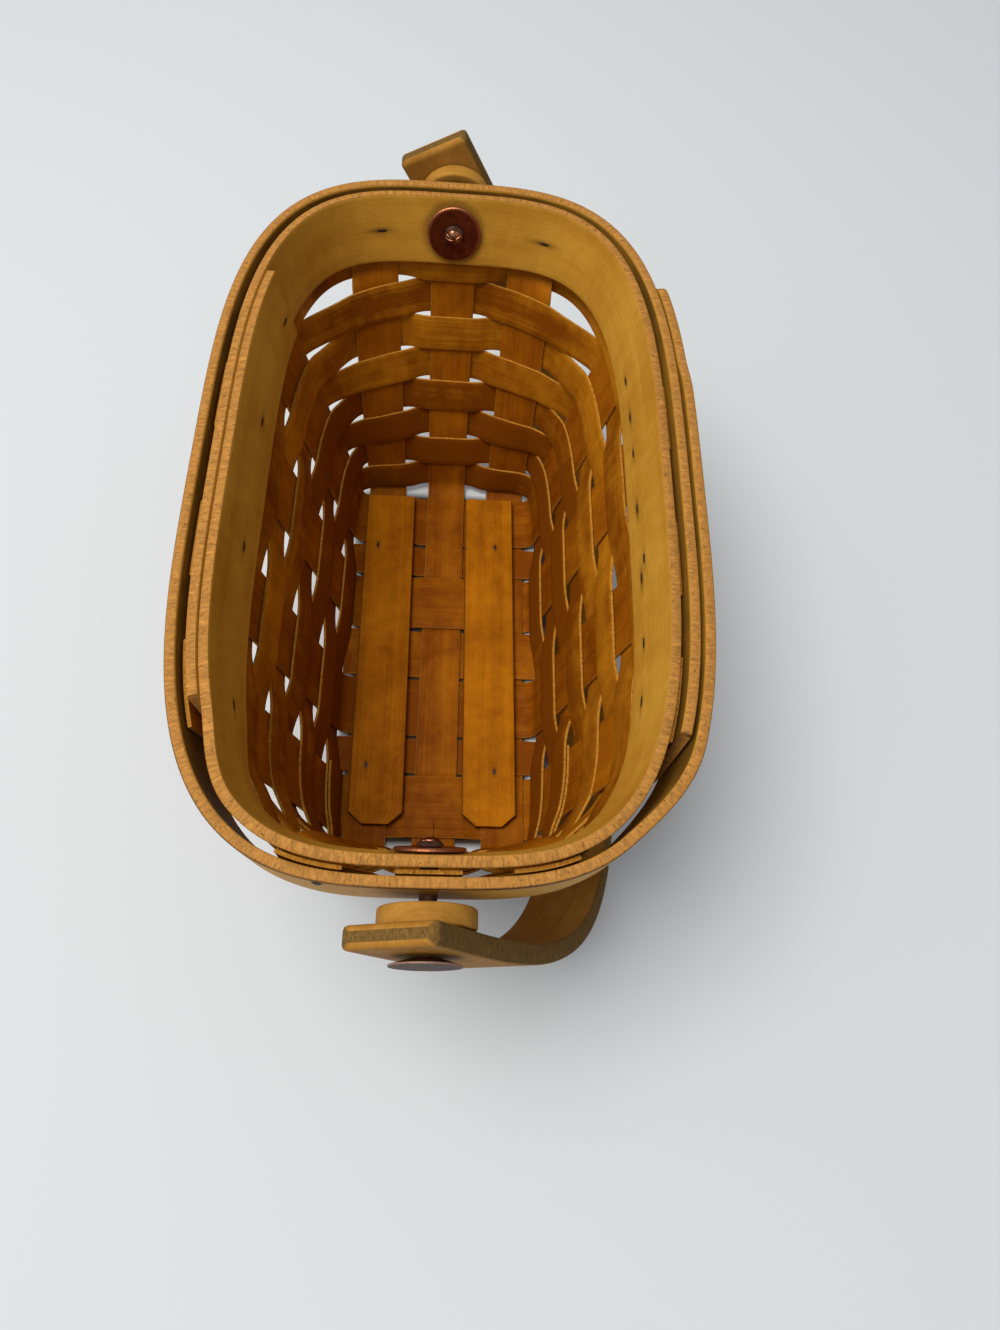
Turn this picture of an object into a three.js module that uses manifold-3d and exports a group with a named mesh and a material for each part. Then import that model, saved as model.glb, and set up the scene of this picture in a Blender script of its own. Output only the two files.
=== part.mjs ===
// Splint basket: a small flared market basket woven from maple splints, with two lapped rim bands
// and a bent-wood handle that swings on copper rivets.
// Millimetres, +Z up. The origin lies on the surface that the basket stands on, under the middle
// of its floor. X runs across the basket and Y along it.

import * as THREE from "three";
import { mergeVertices } from "three/addons/utils/BufferGeometryUtils.js";
import Module from "manifold-3d";

const wasm = await Module();
wasm.setup();

const { lerp, clamp } = THREE.MathUtils;

// Overall form
const rimHeight = 123;
const rimLength = 229;
const rimWidth = 141.8;
const baseLength = 158;
const baseWidth = 72.4;
const baseSquareness = 20;
const rimSquareness = 3.4;
const squarenessRise = 0.6;
const endStraightening = 0.25;
const wallPinch = 5;
const pinchStart = 3;

// Splints of the floor and the walls
const stakeThickness = 1;
const longStakeWidth = 15.5;
const longStakeBaseInset = 3.45;
const longStakeRimPitch = 27.4;
const crossStakeWidth = 23.2;
const crossStakeSpreadShare = 0.05;
const endFillerWidth = 12.5;
const middleFillerWidth = 18.8;
const crossGap = 1.9;
const fillerOverhang = 2.4;
const stakeTopDrop = 3;
const bendSize = 3;
const splintGap = 0.2;

// Weavers
const weaverThickness = 0.9;
const weaverWidth = 12.3;
const firstRowBottom = 3.6;
const lastRowLap = 4.3;
const leastRowGap = 0.45;
const flatMargin = 1;
const hugMargin = 0.3;
const wallEaseSteps = 2;
const cornerEaseSteps = 4;
const lapUprights = 3;
const buttGap = 0.3;

// Rim bands
const bandThickness = 2.85;
const bandHeight = 21.8;
const bandClearance = 0.25;
const sideTopGap = 1.1;
const endTopGap = 0.95;
const outerEndStandOff = 2.4;
const innerLapGap = 0.4;
const outerLapGap = 1.1;
const innerLapLength = 142;
const outerLapLength = 150;
const bandShift = 28;
const lapEndGap = 2;
const bandKneeShare = 0.2;
const endFitSharpness = 6;

// Floor boards
const boardWidth = 19.8;
const boardThickness = 3;
const boardLeftInset = 4.1;
const boardRightInset = 7.1;
const boardFarEnd = 71.9;
const boardNearEnd = -70.2;
const boardClipLength = 4.4;
const boardClipWidth = 5;
const boardEdge = 0.5;

// Handle and its pivots
const seatGap = 0.3;
const pivotDrop = 11;
const shankRadius = 2.2;
const boreGap = 0.3;
const discRadius = 11.8;
const discThickness = 4.9;
const discStandOff = 2.6;
const discEdge = 0.6;
const handleWidth = 24;
const handleThickness = 5.5;
const handleReach = 112.5;
const handleTail = 17.5;
const handleShoulderShare = 0.75;
const handleSquareness = 3.45;
const handleEdge = 1.1;
const headNarrowRadius = 3.7;
const headWideRadius = 8.6;
const headHeight = 1.9;
const headLip = 0.4;
const washerRadius = 8.8;
const washerBoreRadius = 2.8;
const washerThickness = 1;
const washerEdge = 0.3;
const peenRadius = 3.2;
const peenHeight = 1.5;

// Steps and sides of the curved shapes
const ringSteps = 1440;
const bandStation = 7;
const bowSteps = 56;
const boreSides = 24;
const discSides = 40;
const headSides = 32;
const peenSides = 24;
const restSearchSteps = 40;
const wallSearchSteps = 8;
const mergeDistance = 1e-4;
const axisLimit = 0.999;

// Sizes that follow from the ones above
const weaverOffset = stakeThickness / 2 + splintGap + weaverThickness / 2;
const lapStep = weaverThickness + splintGap;
const longStakeBasePitch = baseWidth / 2 - longStakeBaseInset - longStakeWidth / 2;
const pivotHeight = rimHeight - pivotDrop;
const weaveReach = weaverOffset + weaverThickness / 2;
const weaveGap = weaveReach + bandClearance;
const bandBottom = rimHeight - bandHeight;
const lastRowTop = bandBottom + lastRowLap;
const lastRowBottom = lastRowTop - weaverWidth;
const wovenHeight = lastRowTop - firstRowBottom;
const weaverRows = Math.floor((wovenHeight + leastRowGap) / (weaverWidth + leastRowGap));
const rowPitch = (wovenHeight - weaverWidth) / (weaverRows - 1);
const rowGap = rowPitch - weaverWidth;
const farPinchTop = lastRowBottom - rowGap / 4;
const stakeTop = rimHeight - stakeTopDrop;
const bandKnee = Math.max(lastRowTop + splintGap, bandBottom + bandHeight * bandKneeShare);
const wallRimHalfLength = rimLength / 2 - endTopGap - bandThickness;
const rimStack = 2 * sideTopGap + 3 * bandThickness + outerLapGap;
const wallRimHalfWidth = (rimWidth - rimStack) / 2;
const floorLift = (stakeThickness + splintGap) / 2;
const floorMiddle = floorLift + stakeThickness / 2;
const floorTop = floorMiddle + floorLift + stakeThickness / 2;
const discInner = rimLength / 2 + discStandOff;
const handleInner = discInner + discThickness + seatGap;
const handleOuter = handleInner + handleThickness;
const handleShoulder = handleTail * handleShoulderShare;
const boreRadius = shankRadius + boreGap;

// Materials
const stakeWood = new THREE.MeshStandardMaterial({ color: 0x8f5a1a, roughness: 0.5, metalness: 0 });
const weaverWood = new THREE.MeshStandardMaterial({ color: 0xa66a1e, roughness: 0.48, metalness: 0 });
const boardWood = new THREE.MeshStandardMaterial({ color: 0xa8671a, roughness: 0.45, metalness: 0 });
const bandWood = new THREE.MeshStandardMaterial({ color: 0xb9852f, roughness: 0.5, metalness: 0 });
const handleWood = new THREE.MeshStandardMaterial({ color: 0xa47c42, roughness: 0.55, metalness: 0 });
const discWood = new THREE.MeshStandardMaterial({ color: 0xc08a3a, roughness: 0.5, metalness: 0 });
const copper = new THREE.MeshStandardMaterial({ color: 0x7a3522, roughness: 0.4, metalness: 1 });

// The middle surface of the walls: a level cut through it is a superellipse, which grows and
// softens from a nearly square-cornered base to the rounded rim. The end walls straighten up
// towards the rim.
function wallSection(z) {
  const rise = z / rimHeight;
  const softening = Math.pow(Math.max(rise, 0), squarenessRise);
  const endRise = rise + endStraightening * Math.pow(rise, 3) * (1 - rise);
  return {
    halfLength: lerp(baseLength / 2, wallRimHalfLength, endRise),
    halfWidth: lerp(baseWidth / 2, wallRimHalfWidth, rise),
    power: 1 / lerp(1 / baseSquareness, 1 / rimSquareness, softening),
  };
}

// Below the bands the tight weavers pinch the end walls in on both sides of the centre stake, at
// the far end up to the last row, which passes outside the side stakes there. The pinch at a
// share u of the half width is as u^4 (1 - u^2)^3, which is largest at u^2 = 0.4.
function pinchHeight(z, y) {
  if (z >= (y > 0 ? farPinchTop : bandBottom)) return 0;
  const atMost = Math.pow(0.4, 2) * Math.pow(0.6, 3);
  return (wallPinch * (1 - Math.pow(1 - Math.max(z, 0) / bandBottom, pinchStart))) / atMost;
}

function pinchAt(share, z, y) {
  const square = Math.min(share * share, 1);
  return pinchHeight(z, y) * Math.pow(square, 2) * Math.pow(1 - square, 3);
}

function pinchGrowth(share, z, y) {
  const square = Math.min(share * share, 1);
  const steepness = 2 * Math.pow(Math.abs(share), 3) * Math.pow(1 - square, 2);
  return pinchHeight(z, y) * steepness * (2 - 5 * square);
}

// How fast the wall's equation grows outwards at a point, across and along, and its value there,
// which is 1 on the wall.
function wallEquation(point) {
  const { halfLength, halfWidth, power } = wallSection(point.z);
  const across = Math.abs(point.x) / halfWidth;
  const along = (Math.abs(point.y) + pinchAt(across, point.z, point.y)) / halfLength;
  const steepness = Math.pow(along, power - 1) / halfLength;
  const pinchSteepness = (steepness * pinchGrowth(across, point.z, point.y)) / halfWidth;
  return {
    value: Math.pow(across, power) + Math.pow(along, power),
    slope: new THREE.Vector3(
      Math.sign(point.x) * (Math.pow(across, power - 1) / halfWidth + pinchSteepness),
      Math.sign(point.y) * steepness,
      0,
    ),
    power,
  };
}

function wallAtAngle(angle, z) {
  const { halfLength, halfWidth, power } = wallSection(z);
  const ray = new THREE.Vector3(Math.cos(angle), Math.sin(angle), 0);
  const across = Math.pow(Math.abs(ray.x) / halfWidth, power);
  const along = Math.pow(Math.abs(ray.y) / halfLength, power);
  const point = ray.clone().multiplyScalar(Math.pow(across + along, -1 / power)).setZ(z);
  if (z >= bandBottom) return point;
  for (let i = 0; i < wallSearchSteps; i += 1) {
    const equation = wallEquation(point);
    point.addScaledVector(ray, (1 - equation.value) / (equation.power * equation.slope.dot(ray)));
  }
  return point;
}

function otherHalfAxis(share, power) {
  return Math.pow(1 - Math.pow(Math.min(Math.abs(share), axisLimit), power), 1 / power);
}

function endWallPoint(x, z, end) {
  const { halfLength, halfWidth, power } = wallSection(z);
  const reach = halfLength * otherHalfAxis(x / halfWidth, power) - pinchAt(x / halfWidth, z, end);
  return new THREE.Vector3(x, end * reach, z);
}

function sideWallPoint(y, z, side) {
  const { halfLength, halfWidth, power } = wallSection(z);
  let share = otherHalfAxis(y / halfLength, power);
  for (let i = 0; i < wallSearchSteps; i += 1) {
    share = otherHalfAxis((Math.abs(y) + pinchAt(share, z, y)) / halfLength, power);
  }
  return new THREE.Vector3(side * halfWidth * share, y, z);
}

// The level direction that leaves the basket at a point of the wall.
const outwardAt = (point) => wallEquation(point).slope.normalize();

function offsetWall(point, distance) {
  return point.clone().addScaledVector(outwardAt(point), distance);
}

// A level turn round the wall, measured by its length from the +X side, counterclockwise.
function wallRing(z) {
  const steps = ringSteps;
  const points = [];
  const lengths = [0];
  for (let i = 0; i <= steps; i += 1) {
    points.push(wallAtAngle((2 * Math.PI * i) / steps, z));
    if (i > 0) lengths.push(lengths[i - 1] + points[i].distanceTo(points[i - 1]));
  }
  const total = lengths[steps];
  const pointAt = (length) => {
    const rest = length - Math.floor(length / total) * total;
    let low = 0;
    let high = steps;
    while (high - low > 1) {
      const middle = (low + high) >> 1;
      if (lengths[middle] <= rest) low = middle;
      else high = middle;
    }
    const share = (rest - lengths[low]) / (lengths[high] - lengths[low]);
    return wallAtAngle((2 * Math.PI * (low + share)) / steps, z);
  };
  const lengthAt = (point) => {
    const turn = (Math.atan2(point.y, point.x) + 2 * Math.PI) % (2 * Math.PI);
    const place = (turn / (2 * Math.PI)) * steps;
    const low = Math.min(Math.floor(place), steps - 1);
    return lerp(lengths[low], lengths[low + 1], place - low);
  };
  return { total, pointAt, lengthAt };
}

// Solids

function signedVolume(geometry) {
  const position = geometry.getAttribute("position");
  const index = geometry.getIndex();
  const corners = [new THREE.Vector3(), new THREE.Vector3(), new THREE.Vector3()];
  let volume = 0;
  for (let i = 0; i < index.count; i += 3) {
    corners.forEach((corner, k) => corner.fromBufferAttribute(position, index.getX(i + k)));
    volume += corners[0].dot(corners[1].clone().cross(corners[2])) / 6;
  }
  return volume;
}

// An indexed geometry without doubled vertices, with its faces pointing outwards.
function closedGeometry(source) {
  const bare = new THREE.BufferGeometry();
  bare.setAttribute("position", source.getAttribute("position"));
  bare.setIndex(source.getIndex());
  const merged = mergeVertices(bare, mergeDistance);
  if (signedVolume(merged) < 0) {
    const index = merged.getIndex();
    for (let i = 0; i < index.count; i += 3) {
      const first = index.getX(i);
      index.setX(i, index.getX(i + 1));
      index.setX(i + 1, first);
    }
  }
  return merged;
}

function gridGeometry(points, faces) {
  const geometry = new THREE.BufferGeometry();
  const numbers = points.flatMap((point) => [point.x, point.y, point.z]);
  geometry.setAttribute("position", new THREE.Float32BufferAttribute(numbers, 3));
  geometry.setIndex(faces);
  return closedGeometry(geometry);
}

// Whether the fold of a twisted cell from (i, j) to (i + 1, j + 1) lies farther out than the other
// fold. Pieces that lie on each other are folded alike by this, so that they keep their gap.
function foldsOutwards(grid, i, j) {
  const reach = (a, b) => Math.hypot(a.x + b.x, a.y + b.y);
  return reach(grid[i][j], grid[i + 1][j + 1]) >= reach(grid[i + 1][j], grid[i][j + 1]);
}

// The closed slab between two grids of points of one size, as rows of columns.
function slab(front, back) {
  const rows = front.length;
  const columns = front[0].length;
  const lastRow = rows - 1;
  const lastColumn = columns - 1;
  const at = (face, row, column) => (face * rows + row) * columns + column;
  const faces = [];
  const quad = (a, b, c, d) => faces.push(a, b, c, a, c, d);
  for (let i = 0; i < lastRow; i += 1) {
    for (let j = 0; j < lastColumn; j += 1) {
      [front, back].forEach((grid, face) => {
        const cell = [
          at(face, i, j),
          at(face, i + 1, j),
          at(face, i + 1, j + 1),
          at(face, i, j + 1),
        ];
        if (!foldsOutwards(grid, i, j)) cell.push(cell.shift());
        const [a, b, c, d] = cell;
        if (face === 0) quad(a, b, c, d);
        else quad(a, d, c, b);
      });
    }
    quad(at(0, i, 0), at(1, i, 0), at(1, i + 1, 0), at(0, i + 1, 0));
    quad(
      at(0, i, lastColumn),
      at(0, i + 1, lastColumn),
      at(1, i + 1, lastColumn),
      at(1, i, lastColumn),
    );
  }
  for (let j = 0; j < lastColumn; j += 1) {
    quad(at(0, 0, j), at(0, 0, j + 1), at(1, 0, j + 1), at(1, 0, j));
    quad(at(0, lastRow, j), at(1, lastRow, j), at(1, lastRow, j + 1), at(0, lastRow, j + 1));
  }
  return gridGeometry([...front.flat(), ...back.flat()], faces);
}

// A splint of even thickness, from the grid of its middle surface.
function splint(grid, thickness) {
  const normalAt = (i, j) => {
    const row = grid[i];
    const along = grid[Math.min(i + 1, grid.length - 1)][j]
      .clone()
      .sub(grid[Math.max(i - 1, 0)][j]);
    const across = row[Math.min(j + 1, row.length - 1)].clone().sub(row[Math.max(j - 1, 0)]);
    return along.cross(across).normalize();
  };
  const shifted = (distance) =>
    grid.map((row, i) =>
      row.map((point, j) => point.clone().addScaledVector(normalAt(i, j), distance)),
    );
  return slab(shifted(thickness / 2), shifted(-thickness / 2));
}

// A solid through rings of equally many points, closed at both ends. The rings are convex.
function loft(rings) {
  const count = rings[0].length;
  const faces = [];
  for (let i = 0; i + 1 < rings.length; i += 1) {
    for (let k = 0; k < count; k += 1) {
      const next = (k + 1) % count;
      const low = i * count;
      const high = low + count;
      faces.push(low + k, low + next, high + next, low + k, high + next, high + k);
    }
  }
  const last = (rings.length - 1) * count;
  for (let k = 1; k + 1 < count; k += 1) {
    faces.push(0, k + 1, k);
    faces.push(last, last + k, last + k + 1);
  }
  return gridGeometry(rings.flat(), faces);
}

function toSolid(geometry) {
  const { position } = geometry.attributes;
  return new wasm.Manifold(
    new wasm.Mesh({
      numProp: 3,
      vertProperties: new Float32Array(position.array),
      triVerts: new Uint32Array(geometry.index.array),
    }),
  );
}

function toGeometry(solid) {
  const { vertProperties, triVerts, numProp } = solid.getMesh();
  const geometry = new THREE.BufferGeometry();
  const numbers = [];
  for (let i = 0; i < vertProperties.length; i += numProp) {
    numbers.push(vertProperties[i], vertProperties[i + 1], vertProperties[i + 2]);
  }
  geometry.setAttribute("position", new THREE.Float32BufferAttribute(numbers, 3));
  geometry.setIndex([...triVerts]);
  return geometry;
}

function cut(geometry, tools) {
  const left = tools.reduce((solid, tool) => solid.subtract(toSolid(tool)), toSolid(geometry));
  return toGeometry(left);
}

function join(geometry, other) {
  return toGeometry(toSolid(geometry).add(toSolid(other)));
}

// The bore of a rivet's shank through what it holds at one end of the basket.
function shankBore(end, height) {
  const inner = rimLength / 4;
  const outer = rimLength;
  const bore = new THREE.CylinderGeometry(boreRadius, boreRadius, outer - inner, boreSides);
  bore.translate(0, (end * (inner + outer)) / 2, height);
  return closedGeometry(bore);
}

// The layout of the floor, from the far end to the near end. A long stake passes over the cross
// splints that are marked true in its column, and under the others.

const floorSplints = [
  { kind: "stake", width: crossStakeWidth, underCentre: true },
  { kind: "filler", width: endFillerWidth, underCentre: true },
  { kind: "stake", width: crossStakeWidth, underCentre: false },
  { kind: "filler", width: middleFillerWidth, underCentre: true },
  { kind: "stake", width: crossStakeWidth, underCentre: true },
  { kind: "filler", width: endFillerWidth, underCentre: true },
  { kind: "stake", width: crossStakeWidth, underCentre: false },
];
const floorRun =
  floorSplints.reduce((sum, item) => sum + item.width, 0) + (floorSplints.length - 1) * crossGap;
floorSplints.reduce((far, item) => {
  item.far = far;
  item.near = far - item.width;
  return item.near - crossGap;
}, floorRun / 2);

const centreIsOver = (item) => item.underCentre;
const sideIsOver = (item) => !item.underCentre;
const levelOf = (isOver) => floorMiddle + (isOver ? floorLift : -floorLift);

// A quarter bend from a level run into the wall: a curve with its corner where the two meet.
function bendPoints(start, corner, finish) {
  const curve = new THREE.QuadraticBezierCurve3(start, corner, finish);
  return [0.25, 0.5, 0.75].map((t) => curve.getPoint(t));
}

// The heights of an upright's stations: between the weavers' rows, the lower edge of the bands,
// and its top.
const uprightHeights = [
  ...Array.from({ length: weaverRows }, (_, i) => firstRowBottom + (i + 1) * rowPitch - rowGap / 2),
  bandBottom,
  stakeTop,
].toSorted((a, b) => a - b);

// One column of a long stake, from its far top down the end wall, along the floor and up again.
function longStakeColumn(place, lateral) {
  const isOver = place === 0 ? centreIsOver : sideIsOver;
  const xAt = (z) =>
    place * lerp(longStakeBasePitch, longStakeRimPitch, z / rimHeight) + lateral;
  const xFloor = xAt(0);
  const risingEnd = (end, level) => {
    const bendTop = level + bendSize;
    const top = endWallPoint(xAt(bendTop), bendTop, end);
    const corner = endWallPoint(xFloor, level, end);
    const start = corner.clone();
    start.y -= end * bendSize;
    const wall = uprightHeights.map((z) => endWallPoint(xAt(z), z, end));
    return [start, ...bendPoints(start, corner, top), top, ...wall];
  };
  const farLevel = levelOf(isOver(floorSplints[0]));
  const nearLevel = levelOf(isOver(floorSplints.at(-1)));
  const floor = floorSplints.flatMap((item) => {
    const level = levelOf(isOver(item));
    return [item.far, item.near].map((y) => new THREE.Vector3(xFloor, y, level));
  });
  return [...risingEnd(1, farLevel).reverse(), ...floor, ...risingEnd(-1, nearLevel)];
}

// Rows of points from columns of points.
const rowsOf = (columns) => columns[0].map((_, i) => columns.map((column) => column[i]));

function longStake(place) {
  const columns = [-0.5, 0, 0.5].map((share) => longStakeColumn(place, share * longStakeWidth));
  const whole = splint(rowsOf(columns), stakeThickness);
  if (place !== 0) return whole;
  return cut(whole, [shankBore(1, pivotHeight), shankBore(-1, pivotHeight)]);
}

// How far the cross stakes have fanned out at a height, as a factor of their places on the floor.
const spreadAt = (z) => 1 + (crossStakeSpreadShare * z) / rimHeight;

// One column of a cross stake, from its top on the right wall across the floor to the left.
function crossStakeColumn(item, lateral) {
  const centre = (item.far + item.near) / 2;
  const yAt = (z) => centre * spreadAt(z) + lateral;
  const yFloor = yAt(0);
  const edgeLevel = levelOf(!sideIsOver(item));
  const centreLevel = levelOf(!centreIsOver(item));
  const risingSide = (side) => {
    const bendTop = edgeLevel + bendSize;
    const top = sideWallPoint(yAt(bendTop), bendTop, side);
    const corner = sideWallPoint(yFloor, edgeLevel, side);
    const start = corner.clone();
    start.x -= side * bendSize;
    const wall = uprightHeights.map((z) => sideWallPoint(yAt(z), z, side));
    return [start, ...bendPoints(start, corner, top), top, ...wall];
  };
  const flat = longStakeWidth / 2 + flatMargin;
  const floor = [
    new THREE.Vector3(longStakeBasePitch - flat, yFloor, edgeLevel),
    new THREE.Vector3(flat, yFloor, centreLevel),
    new THREE.Vector3(-flat, yFloor, centreLevel),
    new THREE.Vector3(flat - longStakeBasePitch, yFloor, edgeLevel),
  ];
  return [...risingSide(1).reverse(), ...floor, ...risingSide(-1)];
}

function crossStake(item) {
  const columns = [-0.5, 0, 0.5].map((share) => crossStakeColumn(item, share * item.width));
  return splint(rowsOf(columns), stakeThickness);
}

// A filler lies over the side stakes and under the centre stake, and ends at the floor's edge.
function floorFiller(item) {
  const flat = longStakeWidth / 2 + flatMargin;
  const endX = longStakeBasePitch + longStakeWidth / 2 + fillerOverhang;
  const edgeLevel = levelOf(!sideIsOver(item));
  const centreLevel = levelOf(!centreIsOver(item));
  const stations = [
    [endX, edgeLevel],
    [longStakeBasePitch - flat, edgeLevel],
    [flat, centreLevel],
    [-flat, centreLevel],
    [flat - longStakeBasePitch, edgeLevel],
    [-endX, edgeLevel],
  ];
  const grid = stations.map(([x, z]) =>
    [item.near, item.far].map((y) => new THREE.Vector3(x, y, z)),
  );
  return splint(grid, stakeThickness);
}

// A board lies a given inset from the foot of the long wall on its side.
function floorBoard(side, inset) {
  const centreX = side * (baseWidth / 2 - inset - boardWidth / 2);
  const half = boardWidth / 2 - boardEdge;
  const far = boardFarEnd - boardEdge;
  const near = boardNearEnd + boardEdge;
  const outline = new THREE.Shape([
    new THREE.Vector2(-half, far),
    new THREE.Vector2(-half, near + boardClipLength),
    new THREE.Vector2(boardClipWidth - half, near),
    new THREE.Vector2(half - boardClipWidth, near),
    new THREE.Vector2(half, near + boardClipLength),
    new THREE.Vector2(half, far),
  ]);
  const board = new THREE.ExtrudeGeometry(outline, {
    depth: boardThickness - 2 * boardEdge,
    bevelThickness: boardEdge,
    bevelSize: boardEdge,
    bevelSegments: 2,
  });
  board.translate(centreX, 0, floorTop + seatGap + boardEdge);
  return closedGeometry(board);
}

// The fourteen uprights in the order in which a weaver meets them, counterclockwise from the
// right-hand end of the near wall.
const crossStakes = floorSplints.filter((item) => item.kind === "stake");
const sideUpright = (item, side) => ({
  wall: "side",
  width: crossStakeWidth,
  pointAt: (z, ahead) => {
    const y = ((item.far + item.near) / 2) * spreadAt(z);
    return sideWallPoint(y + side * ahead, z, side);
  },
});
const endUpright = (place, end) => ({
  wall: "end",
  width: longStakeWidth,
  pointAt: (z, ahead) => {
    const x = place * lerp(longStakeBasePitch, longStakeRimPitch, z / rimHeight);
    return endWallPoint(x - end * ahead, z, end);
  },
});
const uprights = [
  ...crossStakes.toReversed().map((item) => sideUpright(item, 1)),
  ...[1, 0, -1].map((place) => endUpright(place, 1)),
  ...crossStakes.map((item) => sideUpright(item, -1)),
  ...[-1, 0, 1].map((place) => endUpright(place, -1)),
];
const nearLapStart = 2 * crossStakes.length + 2;

const smooth = (share) => share * share * (3 - 2 * share);

// The uprights that a weaver passes, in order, each with the weaver's distance from the wall's
// middle surface. Where it laps over its own beginning, the first layer lies inside the second.
function weaverCrossings(row) {
  const lap = row === weaverRows - 1 ? 0 : lapUprights;
  const first = nearLapStart + (row % lapUprights);
  const count = uprights.length + Math.max(lap, 1);
  return Array.from({ length: count }, (_, i) => {
    const order = (first + i) % uprights.length;
    const outside = (order + row) % 2 === 1;
    let offset = outside ? weaverOffset : -weaverOffset;
    if (i < lap && !outside) offset -= lapStep;
    if (lap > 0 && i >= uprights.length && outside) offset += lapStep;
    return { upright: uprights[order], offset };
  });
}

// The stations of a weaver's edge at one height, as points of the wall with the direction out and
// the weaver's distance from them. The weaver lies flat on each upright and eases over to the
// other side of the next one. Below the bands it cuts straight across the corners. Without a lap
// its two ends meet behind one upright.
function weaverEdge(crossings, meets, z) {
  const ring = wallRing(z);
  const stations = [];
  let reached = 0;
  const onWall = (length, offset) => {
    const point = ring.pointAt(length);
    return { point, out: outwardAt(point), offset };
  };
  const acrossCorner = (from, to, share, offset) => ({
    point: from.point.clone().lerp(to.point, share),
    out: from.out.clone().lerp(to.out, share).normalize(),
    offset,
  });
  const lengthBeyond = (point) => {
    const length = ring.lengthAt(point);
    return length + ring.total * Math.max(0, Math.ceil((reached - length) / ring.total));
  };
  crossings.forEach(({ upright, offset }, i) => {
    const half = upright.width / 2 + hugMargin;
    const firstCut = meets && i === 0;
    const lastCut = meets && i === crossings.length - 1;
    const places = [firstCut ? [] : [-half], lastCut ? [-buttGap] : [0], lastCut ? [] : [half]];
    const lengths = places.flat().map((ahead) => lengthBeyond(upright.pointAt(z, ahead)));
    stations.push(...lengths.map((length) => onWall(length, offset)));
    reached = lengths.at(-1);
    const next = crossings[i + 1];
    if (!next) return;
    const nextStart = lengthBeyond(next.upright.pointAt(z, -next.upright.width / 2 - hugMargin));
    const turnsCorner = next.upright.wall !== upright.wall;
    const steps = turnsCorner ? cornerEaseSteps : wallEaseSteps;
    const from = stations.at(-1);
    const to = onWall(nextStart, next.offset);
    for (let k = 1; k <= steps; k += 1) {
      const share = k / (steps + 1);
      const eased = lerp(offset, next.offset, smooth(share));
      if (turnsCorner && !meets) stations.push(acrossCorner(from, to, share, eased));
      else stations.push(onWall(lerp(reached, nextStart, share), eased));
    }
  });
  return stations;
}

function weaver(row) {
  const bottom = firstRowBottom + row * rowPitch;
  const crossings = weaverCrossings(row);
  const meets = row === weaverRows - 1;
  const top = bottom + weaverWidth;
  const heights = bottom < bandBottom && bandBottom < top ? [bottom, bandBottom, top] : [bottom, top];
  const edges = heights.map((z) => weaverEdge(crossings, meets, z));
  const placed = ({ point, out, offset }, shift) => point.clone().addScaledVector(out, offset + shift);
  const face = (shift) => edges[0].map((_, i) => edges.map((edge) => placed(edge[i], shift)));
  return slab(face(weaverThickness / 2), face(-weaverThickness / 2));
}

// The space that a band leaves for the splints, from the wall's middle surface. The outer band
// stands more upright than the end walls, so that its lower edge stands off from them.
function bandGapAt(point, isOuter) {
  const { halfLength } = wallSection(point.z);
  const endShare = Math.pow(Math.min(Math.abs(point.y) / halfLength, 1), endFitSharpness);
  const topGap = lerp(sideTopGap, endTopGap, endShare);
  const rise = clamp((point.z - bandKnee) / (rimHeight - bandKnee), 0, 1);
  const fall = (rimHeight - point.z) / bandHeight;
  const standOff = isOuter ? outerEndStandOff * endShare * fall : 0;
  return lerp(weaveGap, topGap, rise) + standOff;
}

// A band is one bent strip, longer than its turn by its lap. layerAt gives how far the strip has
// moved from the layer that touches the uprights, at 0, to the one on top of it, at 1.
function rimBand({ direction, side, startY, lapLength, lapGap, layerAt }) {
  const ring = wallRing(rimHeight);
  const start = ring.lengthAt(sideWallPoint(startY, rimHeight, side));
  const run = ring.total + lapLength;
  const steps = Math.round(run / bandStation);
  const levels = [bandBottom, bandKnee, rimHeight];
  const face = (depth) =>
    Array.from({ length: steps + 1 }, (_, i) => {
      const length = (run * i) / steps;
      const rim = ring.pointAt(start + length);
      const angle = Math.atan2(rim.y, rim.x);
      const layer = layerAt(length, ring.total) * (bandThickness + lapGap);
      return levels.map((z) => {
        const point = wallAtAngle(angle, z);
        const reach = bandGapAt(point, direction > 0) + layer + depth;
        return offsetWall(point, direction * reach);
      });
    });
  const bores = [shankBore(1, pivotHeight), shankBore(-1, pivotHeight)];
  return cut(slab(face(0), face(bandThickness)), bores);
}

const innerBand = () =>
  rimBand({
    direction: -1,
    side: -1,
    startY: innerLapLength / 2,
    lapLength: innerLapLength,
    lapGap: innerLapGap,
    layerAt: (length) => 1 - smooth(clamp((length - innerLapLength - lapEndGap) / bandShift, 0, 1)),
  });

const outerBand = () =>
  rimBand({
    direction: 1,
    side: 1,
    startY: -outerLapLength / 2,
    lapLength: outerLapLength,
    lapGap: outerLapGap,
    layerAt: (length, turn) =>
      smooth(clamp((length - turn + lapEndGap) / bandShift + 1, 0, 1)),
  });

// Pieces that turn about the pivot line

function latheRing(innerRadius, outerRadius, height, edge, segments) {
  const profile = [
    [innerRadius, 0],
    [outerRadius - edge, 0],
    [outerRadius, edge],
    [outerRadius, height - edge],
    [outerRadius - edge, height],
    [innerRadius, height],
    [innerRadius, 0],
  ].map(([radius, along]) => new THREE.Vector2(radius, along));
  return closedGeometry(new THREE.LatheGeometry(profile, segments));
}

function spacerDisc() {
  const disc = latheRing(boreRadius, discRadius, discThickness, discEdge, discSides);
  disc.translate(0, discInner, pivotHeight);
  return disc;
}

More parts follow.
